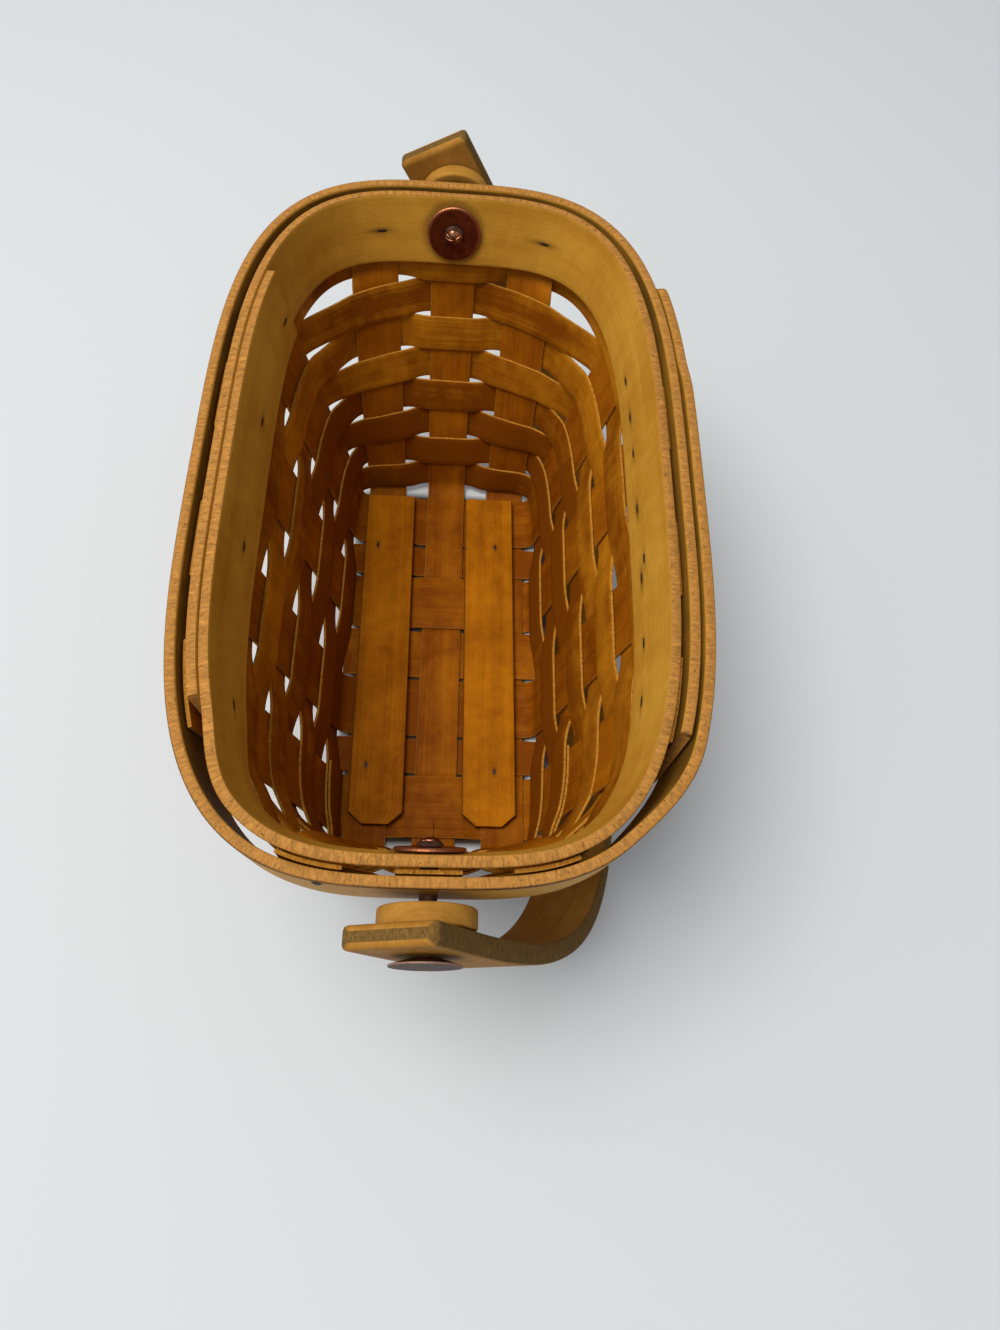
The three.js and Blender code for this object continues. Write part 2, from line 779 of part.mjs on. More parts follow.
// The seat of a washer on the leaning inner face of the inner band: a plane just clear of it.
function washerSeat() {
  const faceAt = (z) => {
    const point = endWallPoint(0, z, 1);
    return point.y - bandGapAt(point, false) - bandThickness;
  };
  const low = pivotHeight - washerRadius;
  const high = pivotHeight + washerRadius;
  const lean = Math.atan2(faceAt(high) - faceAt(low), high - low);
  const inward = new THREE.Vector3(0, -Math.cos(lean), Math.sin(lean));
  const centre = new THREE.Vector3(0, faceAt(pivotHeight), pivotHeight);
  const proud = [low, bandKnee, high].map((z) =>
    new THREE.Vector3(0, faceAt(z), z).sub(centre).dot(inward),
  );
  return { lean, inward, origin: centre.addScaledVector(inward, Math.max(0, ...proud) + seatGap) };
}

// Turns a piece made along +Y so that it points inwards from the band, and sets it on its seat.
function setOnSeat(geometry, height) {
  const { lean, inward, origin } = washerSeat();
  geometry.rotateX(Math.PI - lean);
  const place = origin.clone().addScaledVector(inward, height);
  geometry.translate(place.x, place.y, place.z);
  return geometry;
}

const washer = () =>
  setOnSeat(latheRing(washerBoreRadius, washerRadius, washerThickness, washerEdge, discSides), 0);

// A rivet: a shank, a flared head outside the handle and a peened end on the washer.
function rivet() {
  const { inward, origin } = washerSeat();
  const depth = washerThickness + seatGap + peenHeight / 2;
  const shankEnd = origin.y + (inward.y * depth) / (inward.y * inward.y);
  const headBase = handleOuter + seatGap;
  const headTop = headBase + headHeight;
  const profile = [
    [0, shankEnd],
    [shankRadius, shankEnd],
    [shankRadius, headBase],
    [headNarrowRadius, headBase],
    [headWideRadius, headTop - headLip],
    [headWideRadius, headTop],
    [0, headTop],
  ].map(([radius, along]) => new THREE.Vector2(radius, along));
  const body = closedGeometry(new THREE.LatheGeometry(profile, headSides));
  body.translate(0, 0, pivotHeight);
  const dome = [
    [0, 0],
    [peenRadius, 0],
    [peenRadius, peenHeight * 0.3],
    [peenRadius * 0.8, peenHeight * 0.75],
    [peenRadius * 0.4, peenHeight],
    [0, peenHeight],
  ].map(([radius, along]) => new THREE.Vector2(radius, along));
  const peen = closedGeometry(new THREE.LatheGeometry(dome, peenSides));
  return join(body, setOnSeat(peen, washerThickness + seatGap));
}

// The handle, upright about its pivot line: a flat strap whose bow is a superellipse that starts
// a little below the pivots, and whose legs run straight on from there as short tails.
function handlePath() {
  const halfSpan = handleInner + handleThickness / 2;
  const rise = handleReach + handleThickness / 2 + handleShoulder;
  const bow = Array.from({ length: bowSteps + 1 }, (_, i) => {
    const angle = (Math.PI * i) / bowSteps;
    const along = Math.pow(Math.abs(Math.cos(angle)) / halfSpan, handleSquareness);
    const up = Math.pow(Math.abs(Math.sin(angle)) / rise, handleSquareness);
    const radius = Math.pow(along + up, -1 / handleSquareness);
    return new THREE.Vector2(radius * Math.cos(angle), radius * Math.sin(angle) - handleShoulder);
  });
  const tailEnd = (end) => new THREE.Vector2(end * halfSpan, -handleTail);
  return [tailEnd(1), ...bow, tailEnd(-1)];
}

function swingHandle() {
  const path = handlePath();
  const halfWidth = handleWidth / 2;
  const halfThickness = handleThickness / 2;
  const section = [
    [halfWidth - handleEdge, halfThickness],
    [handleEdge - halfWidth, halfThickness],
    [-halfWidth, halfThickness - handleEdge],
    [-halfWidth, handleEdge - halfThickness],
    [handleEdge - halfWidth, -halfThickness],
    [halfWidth - handleEdge, -halfThickness],
    [halfWidth, handleEdge - halfThickness],
    [halfWidth, halfThickness - handleEdge],
  ];
  const rings = path.map((point, i) => {
    const before = path[Math.max(i - 1, 0)];
    const after = path[Math.min(i + 1, path.length - 1)];
    const ahead = after.clone().sub(before).normalize();
    const outward = new THREE.Vector2(ahead.y, -ahead.x);
    return section.map(
      ([across, out]) =>
        new THREE.Vector3(across, point.x + outward.x * out, point.y + outward.y * out),
    );
  });
  return cut(loft(rings), [shankBore(1, 0), shankBore(-1, 0)]);
}

// The angle from upright at which the grip's inner edge comes to rest against the long wall.
function handleRestAngle() {
  const inside = handlePath().map(
    (point) => new THREE.Vector2(point.x, point.y - handleThickness / 2),
  );
  const clearanceAt = (angle) => {
    const gaps = inside.map(({ x: along, y: reach }) => {
      const x = (handleWidth / 2) * Math.cos(angle) + reach * Math.sin(angle);
      const z = pivotHeight - (handleWidth / 2) * Math.sin(angle) + reach * Math.cos(angle);
      if (z > pivotHeight / 2 || Math.abs(along) > wallSection(z).halfLength) return Infinity;
      return x - sideWallPoint(along, z, 1).x - weaveReach;
    });
    return Math.min(...gaps);
  };
  let free = Math.PI / 2;
  let stopped = Math.PI * 0.95;
  for (let i = 0; i < restSearchSteps; i += 1) {
    const middle = (free + stopped) / 2;
    if (clearanceAt(middle) > seatGap) free = middle;
    else stopped = middle;
  }
  return free;
}

// Assembly

const basket = new THREE.Group();

function addPiece(name, geometry, material, parent = basket) {
  const mesh = new THREE.Mesh(geometry, material);
  mesh.name = name;
  parent.add(mesh);
  return mesh;
}

addPiece("long_stake_left", longStake(-1), stakeWood);
addPiece("long_stake_centre", longStake(0), stakeWood);
addPiece("long_stake_right", longStake(1), stakeWood);
crossStakes.forEach((item, i) => addPiece(`cross_stake_${i + 1}`, crossStake(item), stakeWood));
floorSplints
  .filter((item) => item.kind === "filler")
  .forEach((item, i) => addPiece(`floor_filler_${i + 1}`, floorFiller(item), stakeWood));
addPiece("floor_board_left", floorBoard(-1, boardLeftInset), boardWood);
addPiece("floor_board_right", floorBoard(1, boardRightInset), boardWood);
for (let row = 0; row < weaverRows; row += 1) {
  addPiece(`weaver_${row + 1}`, weaver(row), weaverWood);
}
addPiece("inner_band", innerBand(), bandWood);
addPiece("outer_band", outerBand(), bandWood);

// The two ends of the pivot line are alike, half a turn apart.
for (const [name, turn] of [
  ["far", 0],
  ["near", Math.PI],
]) {
  const end = new THREE.Group();
  end.rotation.z = turn;
  basket.add(end);
  addPiece(`spacer_disc_${name}`, spacerDisc(), discWood, end);
  addPiece(`rivet_washer_${name}`, washer(), copper, end);
  addPiece(`handle_rivet_${name}`, rivet(), copper, end);
}

const pivots = new THREE.Group();
pivots.position.z = pivotHeight;
pivots.rotation.y = handleRestAngle();
basket.add(pivots);
addPiece("swing_handle", swingHandle(), handleWood, pivots);

export default basket;
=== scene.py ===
"""A small splint basket of maple, with lapped rim bands and a swing handle on copper rivets."""

import bmesh
import bpy
import numpy as np
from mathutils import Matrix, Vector


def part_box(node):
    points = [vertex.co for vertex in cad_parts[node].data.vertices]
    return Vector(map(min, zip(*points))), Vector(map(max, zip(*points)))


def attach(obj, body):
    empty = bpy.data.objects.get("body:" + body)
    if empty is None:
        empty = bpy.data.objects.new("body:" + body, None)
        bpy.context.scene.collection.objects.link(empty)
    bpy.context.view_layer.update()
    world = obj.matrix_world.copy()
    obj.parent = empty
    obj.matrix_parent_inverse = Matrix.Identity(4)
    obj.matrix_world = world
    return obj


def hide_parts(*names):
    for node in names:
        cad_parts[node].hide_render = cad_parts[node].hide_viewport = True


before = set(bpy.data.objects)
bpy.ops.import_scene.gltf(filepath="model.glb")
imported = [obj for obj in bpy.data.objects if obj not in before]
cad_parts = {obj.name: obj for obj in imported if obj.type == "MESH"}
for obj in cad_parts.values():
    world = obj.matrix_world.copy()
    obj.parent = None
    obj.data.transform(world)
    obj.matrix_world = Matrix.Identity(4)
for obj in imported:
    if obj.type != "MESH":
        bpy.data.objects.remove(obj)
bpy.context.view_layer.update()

mm = 0.001

# Long stakes
# Three maple splints, sawn thin and steamed, that run along under the floor boards and rise up
# both end walls. They are the first pieces laid on the mould, and everything is woven on them.

rim_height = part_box("inner_band")[1].z
stake_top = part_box("long_stake_left")[1].z
band_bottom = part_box("inner_band")[0].z
base_half = np.array([36.2, 79.0]) * mm
rim_half = np.array([64.98, 110.7]) * mm
base_squareness = 20.0
rim_squareness = 3.4
squareness_rise = 0.6
end_straightening = 0.25
wall_pinch = 5.0 * mm
pinch_start = 3
pinch_top = 93.0 * mm
near_pinch_share = -0.15
arris_points = 3
sharp_angle = np.radians(42)
# Height up to which painted shade darkens the wood towards the bottom of the basket.
painted_shade_height = 85 * mm
# Colour of the stains and of the painted shadow and shade on the wood.
stain_and_shade_colour = (0.03, 0.010, 0.004)


def wall_section(z):
    """Half width, half length and power of the level superellipse at height z.

    Both halves grow evenly with the height, the ends a little faster at first, and the reciprocal
    of the power eases from the nearly square floor to the rounded rim."""
    rise = z / rim_height
    softening = np.maximum(rise, 0) ** squareness_rise
    end_rise = rise + end_straightening * rise**3 * (1 - rise)
    half_x = base_half[0] + (rim_half[0] - base_half[0]) * rise
    half_y = base_half[1] + (rim_half[1] - base_half[1]) * end_rise
    power = 1 / (1 / base_squareness + (1 / rim_squareness - 1 / base_squareness) * softening)
    return half_x, half_y, power


def ease(share):
    """The smooth step 3s^2 - 2s^3 of a share held between 0 and 1."""
    share = np.clip(share, 0, 1)
    return share * share * (3 - 2 * share)


def pinch_depth(y, z, loose):
    """How far the weavers pinch an end wall in: quickly more above the floor, and back to nothing
    between the last row but one and the bands. A loose hoop isn't pinched at the far end, and
    the near end swells out a little instead. The divisor is the most that u^4 (1 - u^2)^3 can
    be, at u^2 = 0.4."""
    share = np.clip(z / band_bottom, 0, 1)
    fade = 1 - ease((z - pinch_top) / (band_bottom - pinch_top))
    end_share = np.where(np.asarray(y) > 0, 0.0 if loose else 1.0, near_pinch_share)
    return wall_pinch * end_share * (1 - (1 - share) ** pinch_start) * fade / (0.4**2 * 0.6**3)


def pinch_at(share, y, z, loose=False):
    """The pinch at a share u of the half width: u^4 (1 - u^2)^3, times its depth."""
    square = np.minimum(share**2, 1)
    return pinch_depth(y, z, loose) * square**2 * (1 - square) ** 3


def wall_equation(points, loose):
    """The walls' equation |x / a|^p + |(y + pinch) / b|^p, which is 1 on the wall, and how fast it
    grows across and along, divided by p."""
    half_x, half_y, power = wall_section(points[..., 2])
    x, y, z = points[..., 0], points[..., 1], points[..., 2]
    share = np.abs(x) / half_x
    square = np.minimum(share**2, 1)
    along = (np.abs(y) + pinch_at(share, y, z, loose)) / half_y
    steep = along ** (power - 1) / half_y
    growth = 2 * pinch_depth(y, z, loose) * share**3 * (1 - square) ** 2 * (2 - 5 * square)
    slope_x = np.sign(x) * (share ** (power - 1) + steep * growth) / half_x
    slope = np.stack([slope_x, np.sign(y) * steep, 0 * x], axis=-1)
    return share**power + along**power, slope, power


def wall_at(angle, z, loose=False):
    """Points of the walls' middle surface at a polar angle and a height.

    The plain superellipse gives the first radius, and Newton's steps bring it to the pinched
    one."""
    half_x, half_y, power = wall_section(z)
    ray = np.stack([np.cos(angle), np.sin(angle), 0 * angle], axis=-1)
    across = np.abs(np.cos(angle) / half_x) ** power
    along = np.abs(np.sin(angle) / half_y) ** power
    points = ray * ((across + along) ** (-1 / power))[..., None]
    points[..., 2] = z
    for _ in range(6):
        value, slope, power = wall_equation(points, loose)
        step = (1 - value) / (power * np.sum(slope * ray, axis=-1))
        points = points + ray * step[..., None]
    return points


def leaving(points, loose=False):
    """The level direction out of the basket: the slope of the walls' equation, of length one."""
    slope = wall_equation(points, loose)[1]
    return slope / np.linalg.norm(slope, axis=-1, keepdims=True)


def end_wall(x, z, end, loose=False):
    """Points of an end wall: the walls' equation solved for y at a given x."""
    half_x, half_y, power = wall_section(z)
    y = half_y * (1 - np.minimum(np.abs(x / half_x), 0.999) ** power) ** (1 / power)
    y = end * (y - pinch_at(x / half_x, end, z, loose))
    return np.stack(np.broadcast_arrays(x, y, z), axis=-1)


def side_wall(y, z, side, loose=False):
    """Points of a long wall: the walls' equation solved for x at a given y, by repetition."""
    half_x, half_y, power = wall_section(z)
    share = 1.0
    for _ in range(8):
        along = np.minimum((np.abs(y) + pinch_at(share, y, z, loose)) / half_y, 0.999)
        share = (1 - along**power) ** (1 / power)
    return np.stack(np.broadcast_arrays(side * half_x * share, y, z), axis=-1)


def cut_outline(width, thickness, edge, columns):
    """The outline of a strip's section as positions across and depths, once round.

    The front face runs from the low arris to the high one with a quarter round of radius edge at
    each, and the back face is the front face turned by half a turn."""
    turn = np.linspace(np.pi / 2, 0, arris_points)
    flat = np.linspace(-1, 1, columns) * (width / 2 - edge)
    out = width / 2 - edge + edge * np.cos(turn)
    up = thickness / 2 - edge + edge * np.sin(turn)
    low = np.stack([-out[::-1], up[::-1]])
    high = np.stack([out, up])
    middle = np.stack([flat[1:-1], np.full(columns - 2, thickness / 2)])
    front = np.concatenate([low, middle, high], axis=1)
    return np.concatenate([front, -front], axis=1)


def strip(
    name, surface, stations, width, thickness, edge, columns=7, stain_and_shade=None, dark_arris_and_back_shade=(0.0, 0.0), thinning=None
):
    """A bent strip of wood: the cut outline carried over a middle surface.

    surface(t, s) gives the middle surface at station t and position s across it. A vertex is the
    surface point moved along the normal by its depth in the outline, times thinning(t) if the
    strip gets thinner anywhere. Layer "grain" holds the length along the strip and round the
    outline in metres, layer "cut" is 1 on the sawn edges and ends, and layer "stain" what
    stain(points) gives, and at least the first given darkening under the front's high arris, a
    dark line, and the second on the back, painted shade."""
    across, depth = cut_outline(width, thickness, edge, columns)
    nudge = 1e-5
    t, s = stations[:, None], across[None, :]
    middle = surface(t, s)
    over = surface(t, s + nudge) - surface(t, s - nudge)
    along = np.gradient(middle, axis=0)
    normal = np.cross(along, over)
    normal /= np.linalg.norm(normal, axis=-1, keepdims=True)
    share = thinning(stations) if thinning else np.ones(len(stations))
    points = middle + normal * depth[None, :, None] * share[:, None, None]

    rows, count = points.shape[:2]
    i, k = np.meshgrid(np.arange(rows - 1), np.arange(count), indexing="ij")
    following = (k + 1) % count
    here, ahead = i * count, (i + 1) * count
    sides = np.stack([here + k, ahead + k, ahead + following, here + following], -1)
    half = count // 2
    j = np.arange(half - 1)
    cap = np.stack([j, j + 1, count - 2 - j, count - 1 - j], -1)
    last = cap[:, ::-1] + (rows - 1) * count
    faces = np.concatenate([sides.reshape(-1, 4), cap, last])

    steps = np.linalg.norm(np.diff(middle[:, half // 2], axis=0), axis=-1)
    run = np.concatenate([[0], np.cumsum(steps)])
    sides_round = np.hypot(np.diff(across, append=across[0]), np.diff(depth, append=depth[0]))
    girth = np.concatenate([[0], np.cumsum(sides_round)])
    grain_u = np.stack([run[i], run[i + 1], run[i + 1], run[i]], -1).reshape(-1)
    grain_v = np.stack([girth[k], girth[k], girth[k + 1], girth[k + 1]], -1).reshape(-1)
    sawn = (np.abs(across) > width / 2 - edge * 0.8).astype(float)
    cut = np.stack([sawn[k], sawn[k], sawn[following], sawn[following]], -1).reshape(-1)
    cap_u = across[cap].reshape(-1)
    cap_v = depth[cap].reshape(-1)
    u = np.concatenate([grain_u, cap_u, across[cap[:, ::-1]].reshape(-1)])
    v = np.concatenate([grain_v, cap_v, depth[cap[:, ::-1]].reshape(-1)])
    cut = np.concatenate([cut, np.ones(2 * cap.size)])
    arris_and_back_shade_marks = np.zeros(points.shape[:2])
    # A dark line under the front's high arris, and painted shade over the whole back face.
    arris_and_back_shade_marks[:, columns : columns + arris_points] = dark_arris_and_back_shade[0]
    arris_and_back_shade_marks[:, half + arris_points :] = dark_arris_and_back_shade[1]
    marks = arris_and_back_shade_marks.reshape(-1)
    if stain_and_shade:
        marks = np.maximum(marks, stain_and_shade(points.reshape(-1, 3)))
    return wooden(name, points.reshape(-1, 3), faces, u, v, cut, marks)


def wooden(name, points, faces, u, v, cut, stain_and_shade=0.0):
    """A mesh object from points and four-sided faces, with its wood layers, facing outwards.

    The signed volume, a third of the sum of each face's point times its area vector, tells
    whether the faces point inwards; if they do, each face is listed the other way round."""
    a, b, c, d = (points[faces[:, n]] for n in range(4))
    volume = np.sum(np.einsum("ij,ij->i", a, np.cross(c - a, d - b)))
    order = slice(None) if volume > 0 else slice(None, None, -1)
    faces = faces[:, order]
    u, v, cut = (layer.reshape(-1, 4)[:, order].reshape(-1) for layer in (u, v, cut))
    mesh = bpy.data.meshes.new(name)
    mesh.from_pydata(points.tolist(), [], faces.tolist())
    seed = np.random.default_rng(sum(map(ord, name)))
    shift = seed.uniform(0, 3, 2)
    grain = mesh.uv_layers.new(name="grain")
    grain.uv.foreach_set("vector", np.stack([u + shift[0], v + shift[1]], -1).astype(np.float32).ravel())
    layer = mesh.attributes.new("cut", "FLOAT", "CORNER")
    layer.data.foreach_set("value", cut.astype(np.float32))
    tone = mesh.attributes.new("tone", "FLOAT", "POINT")
    tone.data.foreach_set("value", np.full(len(points), seed.uniform(-1, 1), np.float32))
    marks = mesh.attributes.new("stain_and_shade", "FLOAT", "POINT")
    marks.data.foreach_set("value", (stain_and_shade + np.zeros(len(points))).astype(np.float32))
    mesh.shade_smooth()
    mesh.set_sharp_from_angle(angle=sharp_angle)
    mesh.validate()
    piece = bpy.data.objects.new(name, mesh)
    bpy.context.scene.collection.objects.link(piece)
    return piece


def shader_node(tree, kind, inputs=(), **settings):
    """Adds a node, sets its settings, and gives each input a value or a link."""
    made = tree.nodes.new(kind)
    for key, value in settings.items():
        setattr(made, key, value)
    for socket, value in dict(inputs).items():
        if isinstance(value, bpy.types.NodeSocket):
            tree.links.new(value, made.inputs[socket])
        else:
            made.inputs[socket].default_value = value
    return made


def within(value, low, high, to_low=0.0, to_high=1.0):
    """A value carried evenly from between low and high to between two others, and held there."""
    ends = {"Value": value, "From Min": low, "From Max": high, "To Min": to_low, "To Max": to_high}
    return shader_node(value.id_data, "ShaderNodeMapRange", ends).outputs[0]


def worked(kind, a, b):
    """The sum, difference or product of a value and another one."""
    return shader_node(a.id_data, "ShaderNodeMath", {0: a, 1: b}, operation=kind).outputs[0]


def plus(a, b):
    return worked("ADD", a, b)


def minus(a, b):
    return worked("SUBTRACT", a, b)


def times(a, b):
    return worked("MULTIPLY", a, b)


def mixed(share, a, b):
    """The colour at a share of the way from colour a to colour b."""
    return shader_node(share.id_data, "ShaderNodeMix", {0: share, 6: a, 7: b}, data_type="RGBA").outputs[2]


def maple(name, pale, deep, sawn, shine=0.03, figure=1.0, low_painted_shade=0.0):
    """Oiled maple: fine fibres and slow figure along the grain, patches and mottle across it,
    small pores, tone from piece to piece, painted shade that darkens it low down by low_painted_shade,
    sawn edges with ticks and specks, and dark stains round the fastenings, partly painted shadow
    round the washers, with a dark line and painted shade on the outer band."""
    material = bpy.data.materials.new(name)
    material.use_nodes = True
    tree = material.node_tree
    shader = tree.nodes["Principled BSDF"]

    def noise(vector, scale, detail=3.0, rough=0.55):
        """Noise on grain lengths multiplied by scale, in features per metre."""
        mapped = shader_node(tree, "ShaderNodeMapping", {"Vector": vector, "Scale": scale})
        grains = {"Vector": mapped.outputs[0], "Scale": 1.0, "Detail": detail, "Roughness": rough}
        return shader_node(tree, "ShaderNodeTexNoise", grains).outputs["Fac"]

    grain = shader_node(tree, "ShaderNodeUVMap", uv_map="grain").outputs[0]
    place = shader_node(tree, "ShaderNodeTexCoord").outputs["Object"]
    cut = shader_node(tree, "ShaderNodeAttribute", attribute_name="cut").outputs["Fac"]
    tone = shader_node(tree, "ShaderNodeAttribute", attribute_name="tone").outputs["Fac"]
    stain_and_shade = shader_node(tree, "ShaderNodeAttribute", attribute_name="stain_and_shade").outputs["Fac"]
    fibre = noise(grain, (22, 1500, 1), 4.0, 0.65)
    bands = noise(grain, (5, 190, 1), 3.0)
    pores = within(noise(grain, (240, 4200, 1), 2.0), 0.62, 0.7)
    patches = noise(place, (38, 38, 38), 3.0)
    mottle = noise(place, (210, 210, 120), 4.0, 0.6)
    ticks = noise(grain, (1500, 330, 1), 5.0, 0.75)
    specks = within(noise(place, (1100, 1100, 1100), 2.0), 0.62, 0.70)
    pale_ticks = within(noise(grain, (640, 130, 1), 3.0), 0.58, 0.68)

    weight = plus(times(fibre, 0.34), times(bands, 0.34 * figure))
    weight = plus(weight, times(patches, 0.55))
    weight = plus(weight, times(mottle, 0.35))
    weight = plus(weight, times(tone, 0.10))
    # Painted shade: darker towards the bottom, by low_painted_shade at the floor, fading out at
    # painted_shade_height.
    level = shader_node(tree, "ShaderNodeSeparateXYZ", {0: place}).outputs["Z"]
    weight = minus(weight, within(level, 0.0, painted_shade_height, low_painted_shade, 0.0))
    face = mixed(within(weight, 0.6, 0.98), (*deep, 1), (*pale, 1))
    face = mixed(times(pores, 0.4), face, (*(0.3 * np.array(deep)), 1))
    edge = mixed(within(ticks, 0.36, 0.64), (*(0.5 * np.array(sawn)), 1), (*sawn, 1))
    edge = mixed(times(pale_ticks, 0.3), edge, (*np.minimum(1.6 * np.array(sawn), 0.8), 1))
    edge = mixed(times(specks, 0.7), edge, (*(0.25 * np.array(sawn)), 1))
    colour = mixed(cut, face, edge)
    # The darkening layer holds stains round the nails, and painted shadow and painted shade where the
    # pieces carry them. All of it is mixed towards one dark colour.
    stain_and_shade = times(stain_and_shade, within(patches, 0.35, 0.6, 0.6, 1.0))
    colour = mixed(stain_and_shade, colour, (*stain_and_shade_colour, 1))
    tree.links.new(colour, shader.inputs["Base Color"])

    rough = plus(within(fibre, 0.2, 0.8, 0.6, 0.45), times(cut, 0.18))
    tree.links.new(rough, shader.inputs["Roughness"])
    shader.inputs["Specular IOR Level"].default_value = shine
    height = plus(times(fibre, 0.6), times(times(ticks, cut), 1.2))
    height = minus(height, times(pores, 0.5))
    bump = shader_node(tree, "ShaderNodeBump", {"Strength": 0.5, "Distance": 0.09 * mm, "Height": height})
    tree.links.new(bump.outputs[0], shader.inputs["Normal"])
    return material


# Stakes and weavers get painted shade low in the basket through low_painted_shade.
stake_wood = maple(
    "stake_maple", (0.41, 0.130, 0.004), (0.19, 0.045, 0.0015), (0.46, 0.19, 0.025), low_painted_shade=0.16
)
stake_thickness = 1.0 * mm
stake_edge = 0.28 * mm
long_stake_width = 15.5 * mm
long_base_pitch = 25.0 * mm
long_rim_pitch = 27.4 * mm
floor_middle = 1.1 * mm
floor_lift = 0.6 * mm
bend_radius = 4.0 * mm
bend_saving = bend_radius * (1 - np.pi / 4)
cross_gap = 1.9 * mm
near_lean = 2.2 * mm
lean_foot, lean_full, lean_fade, lean_end = 92 * mm, 100 * mm, 108 * mm, 121 * mm
long_stations = 420
cross_width = 23.2 * mm
narrow_filler, wide_filler = 12.5 * mm, 18.8 * mm

# The floor from the far end: name, width, and whether the centre stake passes over it
floor_rows = [
    ("cross_stake_1", cross_width, True),
    ("floor_filler_1", narrow_filler, True),
    ("cross_stake_2", cross_width, False),
    ("floor_filler_2", wide_filler, True),
    ("cross_stake_3", cross_width, True),
    ("floor_filler_3", narrow_filler, True),
    ("cross_stake_4", cross_width, False),
]
row_widths = np.array([row[1] for row in floor_rows])
floor_half = (row_widths.sum() + (len(floor_rows) - 1) * cross_gap) / 2
row_far = floor_half - np.concatenate([[0], np.cumsum(row_widths + cross_gap)[:-1]])
row_near = row_far - row_widths
centre_over = np.array([row[2] for row in floor_rows])


def level_along(y, over):
    """The floor level of a long stake at y: high over the rows that it crosses, low under the
    others, with a smooth step in the gap between two rows."""
    level = np.where(over[0], 1.0, -1.0) * np.ones_like(y)
    for before, after, near, far in zip(over[:-1], over[1:], row_near[:-1], row_far[1:]):
        share = ease((near - y) / (near - far))
        level = level + share * (float(after) - float(before)) * 2
    return floor_middle + floor_lift * level


def rising(t, corner_level, floor_reach):
    """How a splint turns up into the wall: level run, then a quarter of a circle, then the wall.

    t is the length from the bend's middle. Returns how far short of the wall's foot the splint
    is, and its height."""
    arc = np.clip((t + bend_radius * np.pi / 4) / bend_radius, 0, np.pi / 2)
    short = bend_radius * (1 - np.sin(arc)) + np.maximum(-(t + bend_radius * np.pi / 4), 0)
    height = bend_radius * (1 - np.cos(arc)) + np.maximum(t - bend_radius * np.pi / 4, 0)
    return np.minimum(short, floor_reach), corner_level + height


def near_bulge(z):
    """How far the near end's stakes lean out towards the outer band at height z: a smooth step
    up to it, and another one back to the wall behind it."""
    out = ease((z - lean_foot) / (lean_full - lean_foot))
    back = ease((z - lean_fade) / (lean_end - lean_fade))
    return near_lean * out * (1 - back)


def long_stake_surface(place):
    """The middle surface of a long stake: t runs from -1 at the far top over 0 in the middle of
    the floor to 1 at the near top, in shares of the walls' and the floor's lengths."""
    over = centre_over if place == 0 else ~centre_over

    def surface(t, s):
        end = np.where(t < 0, 1.0, -1.0)
        level = level_along(end * base_half[1], over)
        run = np.abs(t) * (base_half[1] + stake_top - level - bend_saving)
        short, height = rising(run - base_half[1], level, base_half[1])
        x = place * (long_base_pitch + (long_rim_pitch - long_base_pitch) * height / rim_height) + s
        point = end_wall(x + 0 * height, height + 0 * x, 1.0)
        y = end * (point[..., 1] - short + np.where(end < 0, near_bulge(height), 0))
        z = np.where(short > 0.5 * bend_radius, level_along(y, over) + (height - level), height)
        return np.stack([point[..., 0], y, z + 0 * y], axis=-1)

    return surface


for place, side in ((-1, "left"), (0, "centre"), (1, "right")):
    stake = strip(
        f"long_splint_{side}", long_stake_surface(place), np.linspace(-1, 1, long_stations),
        long_stake_width, stake_thickness, stake_edge,
    )
    stake.data.materials.append(stake_wood)
    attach(stake, "basket")
    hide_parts(f"long_stake_{side}")

# Cross stakes and floor fillers
# Four wider splints that cross the floor and rise up both long walls, and three short ones that
# close the floor between them. Each goes over and under the long stakes like the weave.

cross_spread = 0.05
level_margin = 1.0 * mm
filler_overhang = 5.0 * mm
filler_swelling = 1.1 * mm
cross_stations, filler_stations = 340, 60


def level_across(x, over_centre):
    """The level of a cross splint at x: it lies on the other side of each long stake than the
    stake does, with smooth steps between the centre stake and the side stakes."""
    flat = long_stake_width / 2 + level_margin
    share = ease((np.abs(x) - flat) / (long_base_pitch - 2 * flat))
    centre = -1.0 if over_centre else 1.0
    return floor_middle + floor_lift * (centre + share * -2 * centre)


def cross_stake_surface(row):
    """The middle surface of a cross stake: t runs from -1 at the right top to 1 at the left top."""
    centre = (row_far[row] + row_near[row]) / 2

    def surface(t, s):
        side = np.where(t < 0, 1.0, -1.0)
        level = level_across(base_half[0], centre_over[row])
        run = np.abs(t) * (base_half[0] + stake_top - level - bend_saving)
        short, height = rising(run - base_half[0], level, base_half[0])
        y = centre * (1 + cross_spread * height / rim_height) + s
        point = side_wall(y + 0 * height, height + 0 * y, 1.0)
        x = side * (point[..., 0] - short)
        on_floor = level_across(x, centre_over[row]) + (height - level)
        z = np.where(short > 0.5 * bend_radius, on_floor, height)
        return np.stack([x, point[..., 1], z + 0 * x], axis=-1)

    return surface


def filler_surface(row):
    """A flat splint from one side of the floor to the other, with the weave's levels."""
    centre = (row_far[row] + row_near[row]) / 2
    reach = long_base_pitch + long_stake_width / 2 + filler_overhang

    def surface(t, s):
        x = -t * reach + 0 * s
        return np.stack([x, centre + s + 0 * x, level_across(x, centre_over[row])], axis=-1)

    return surface


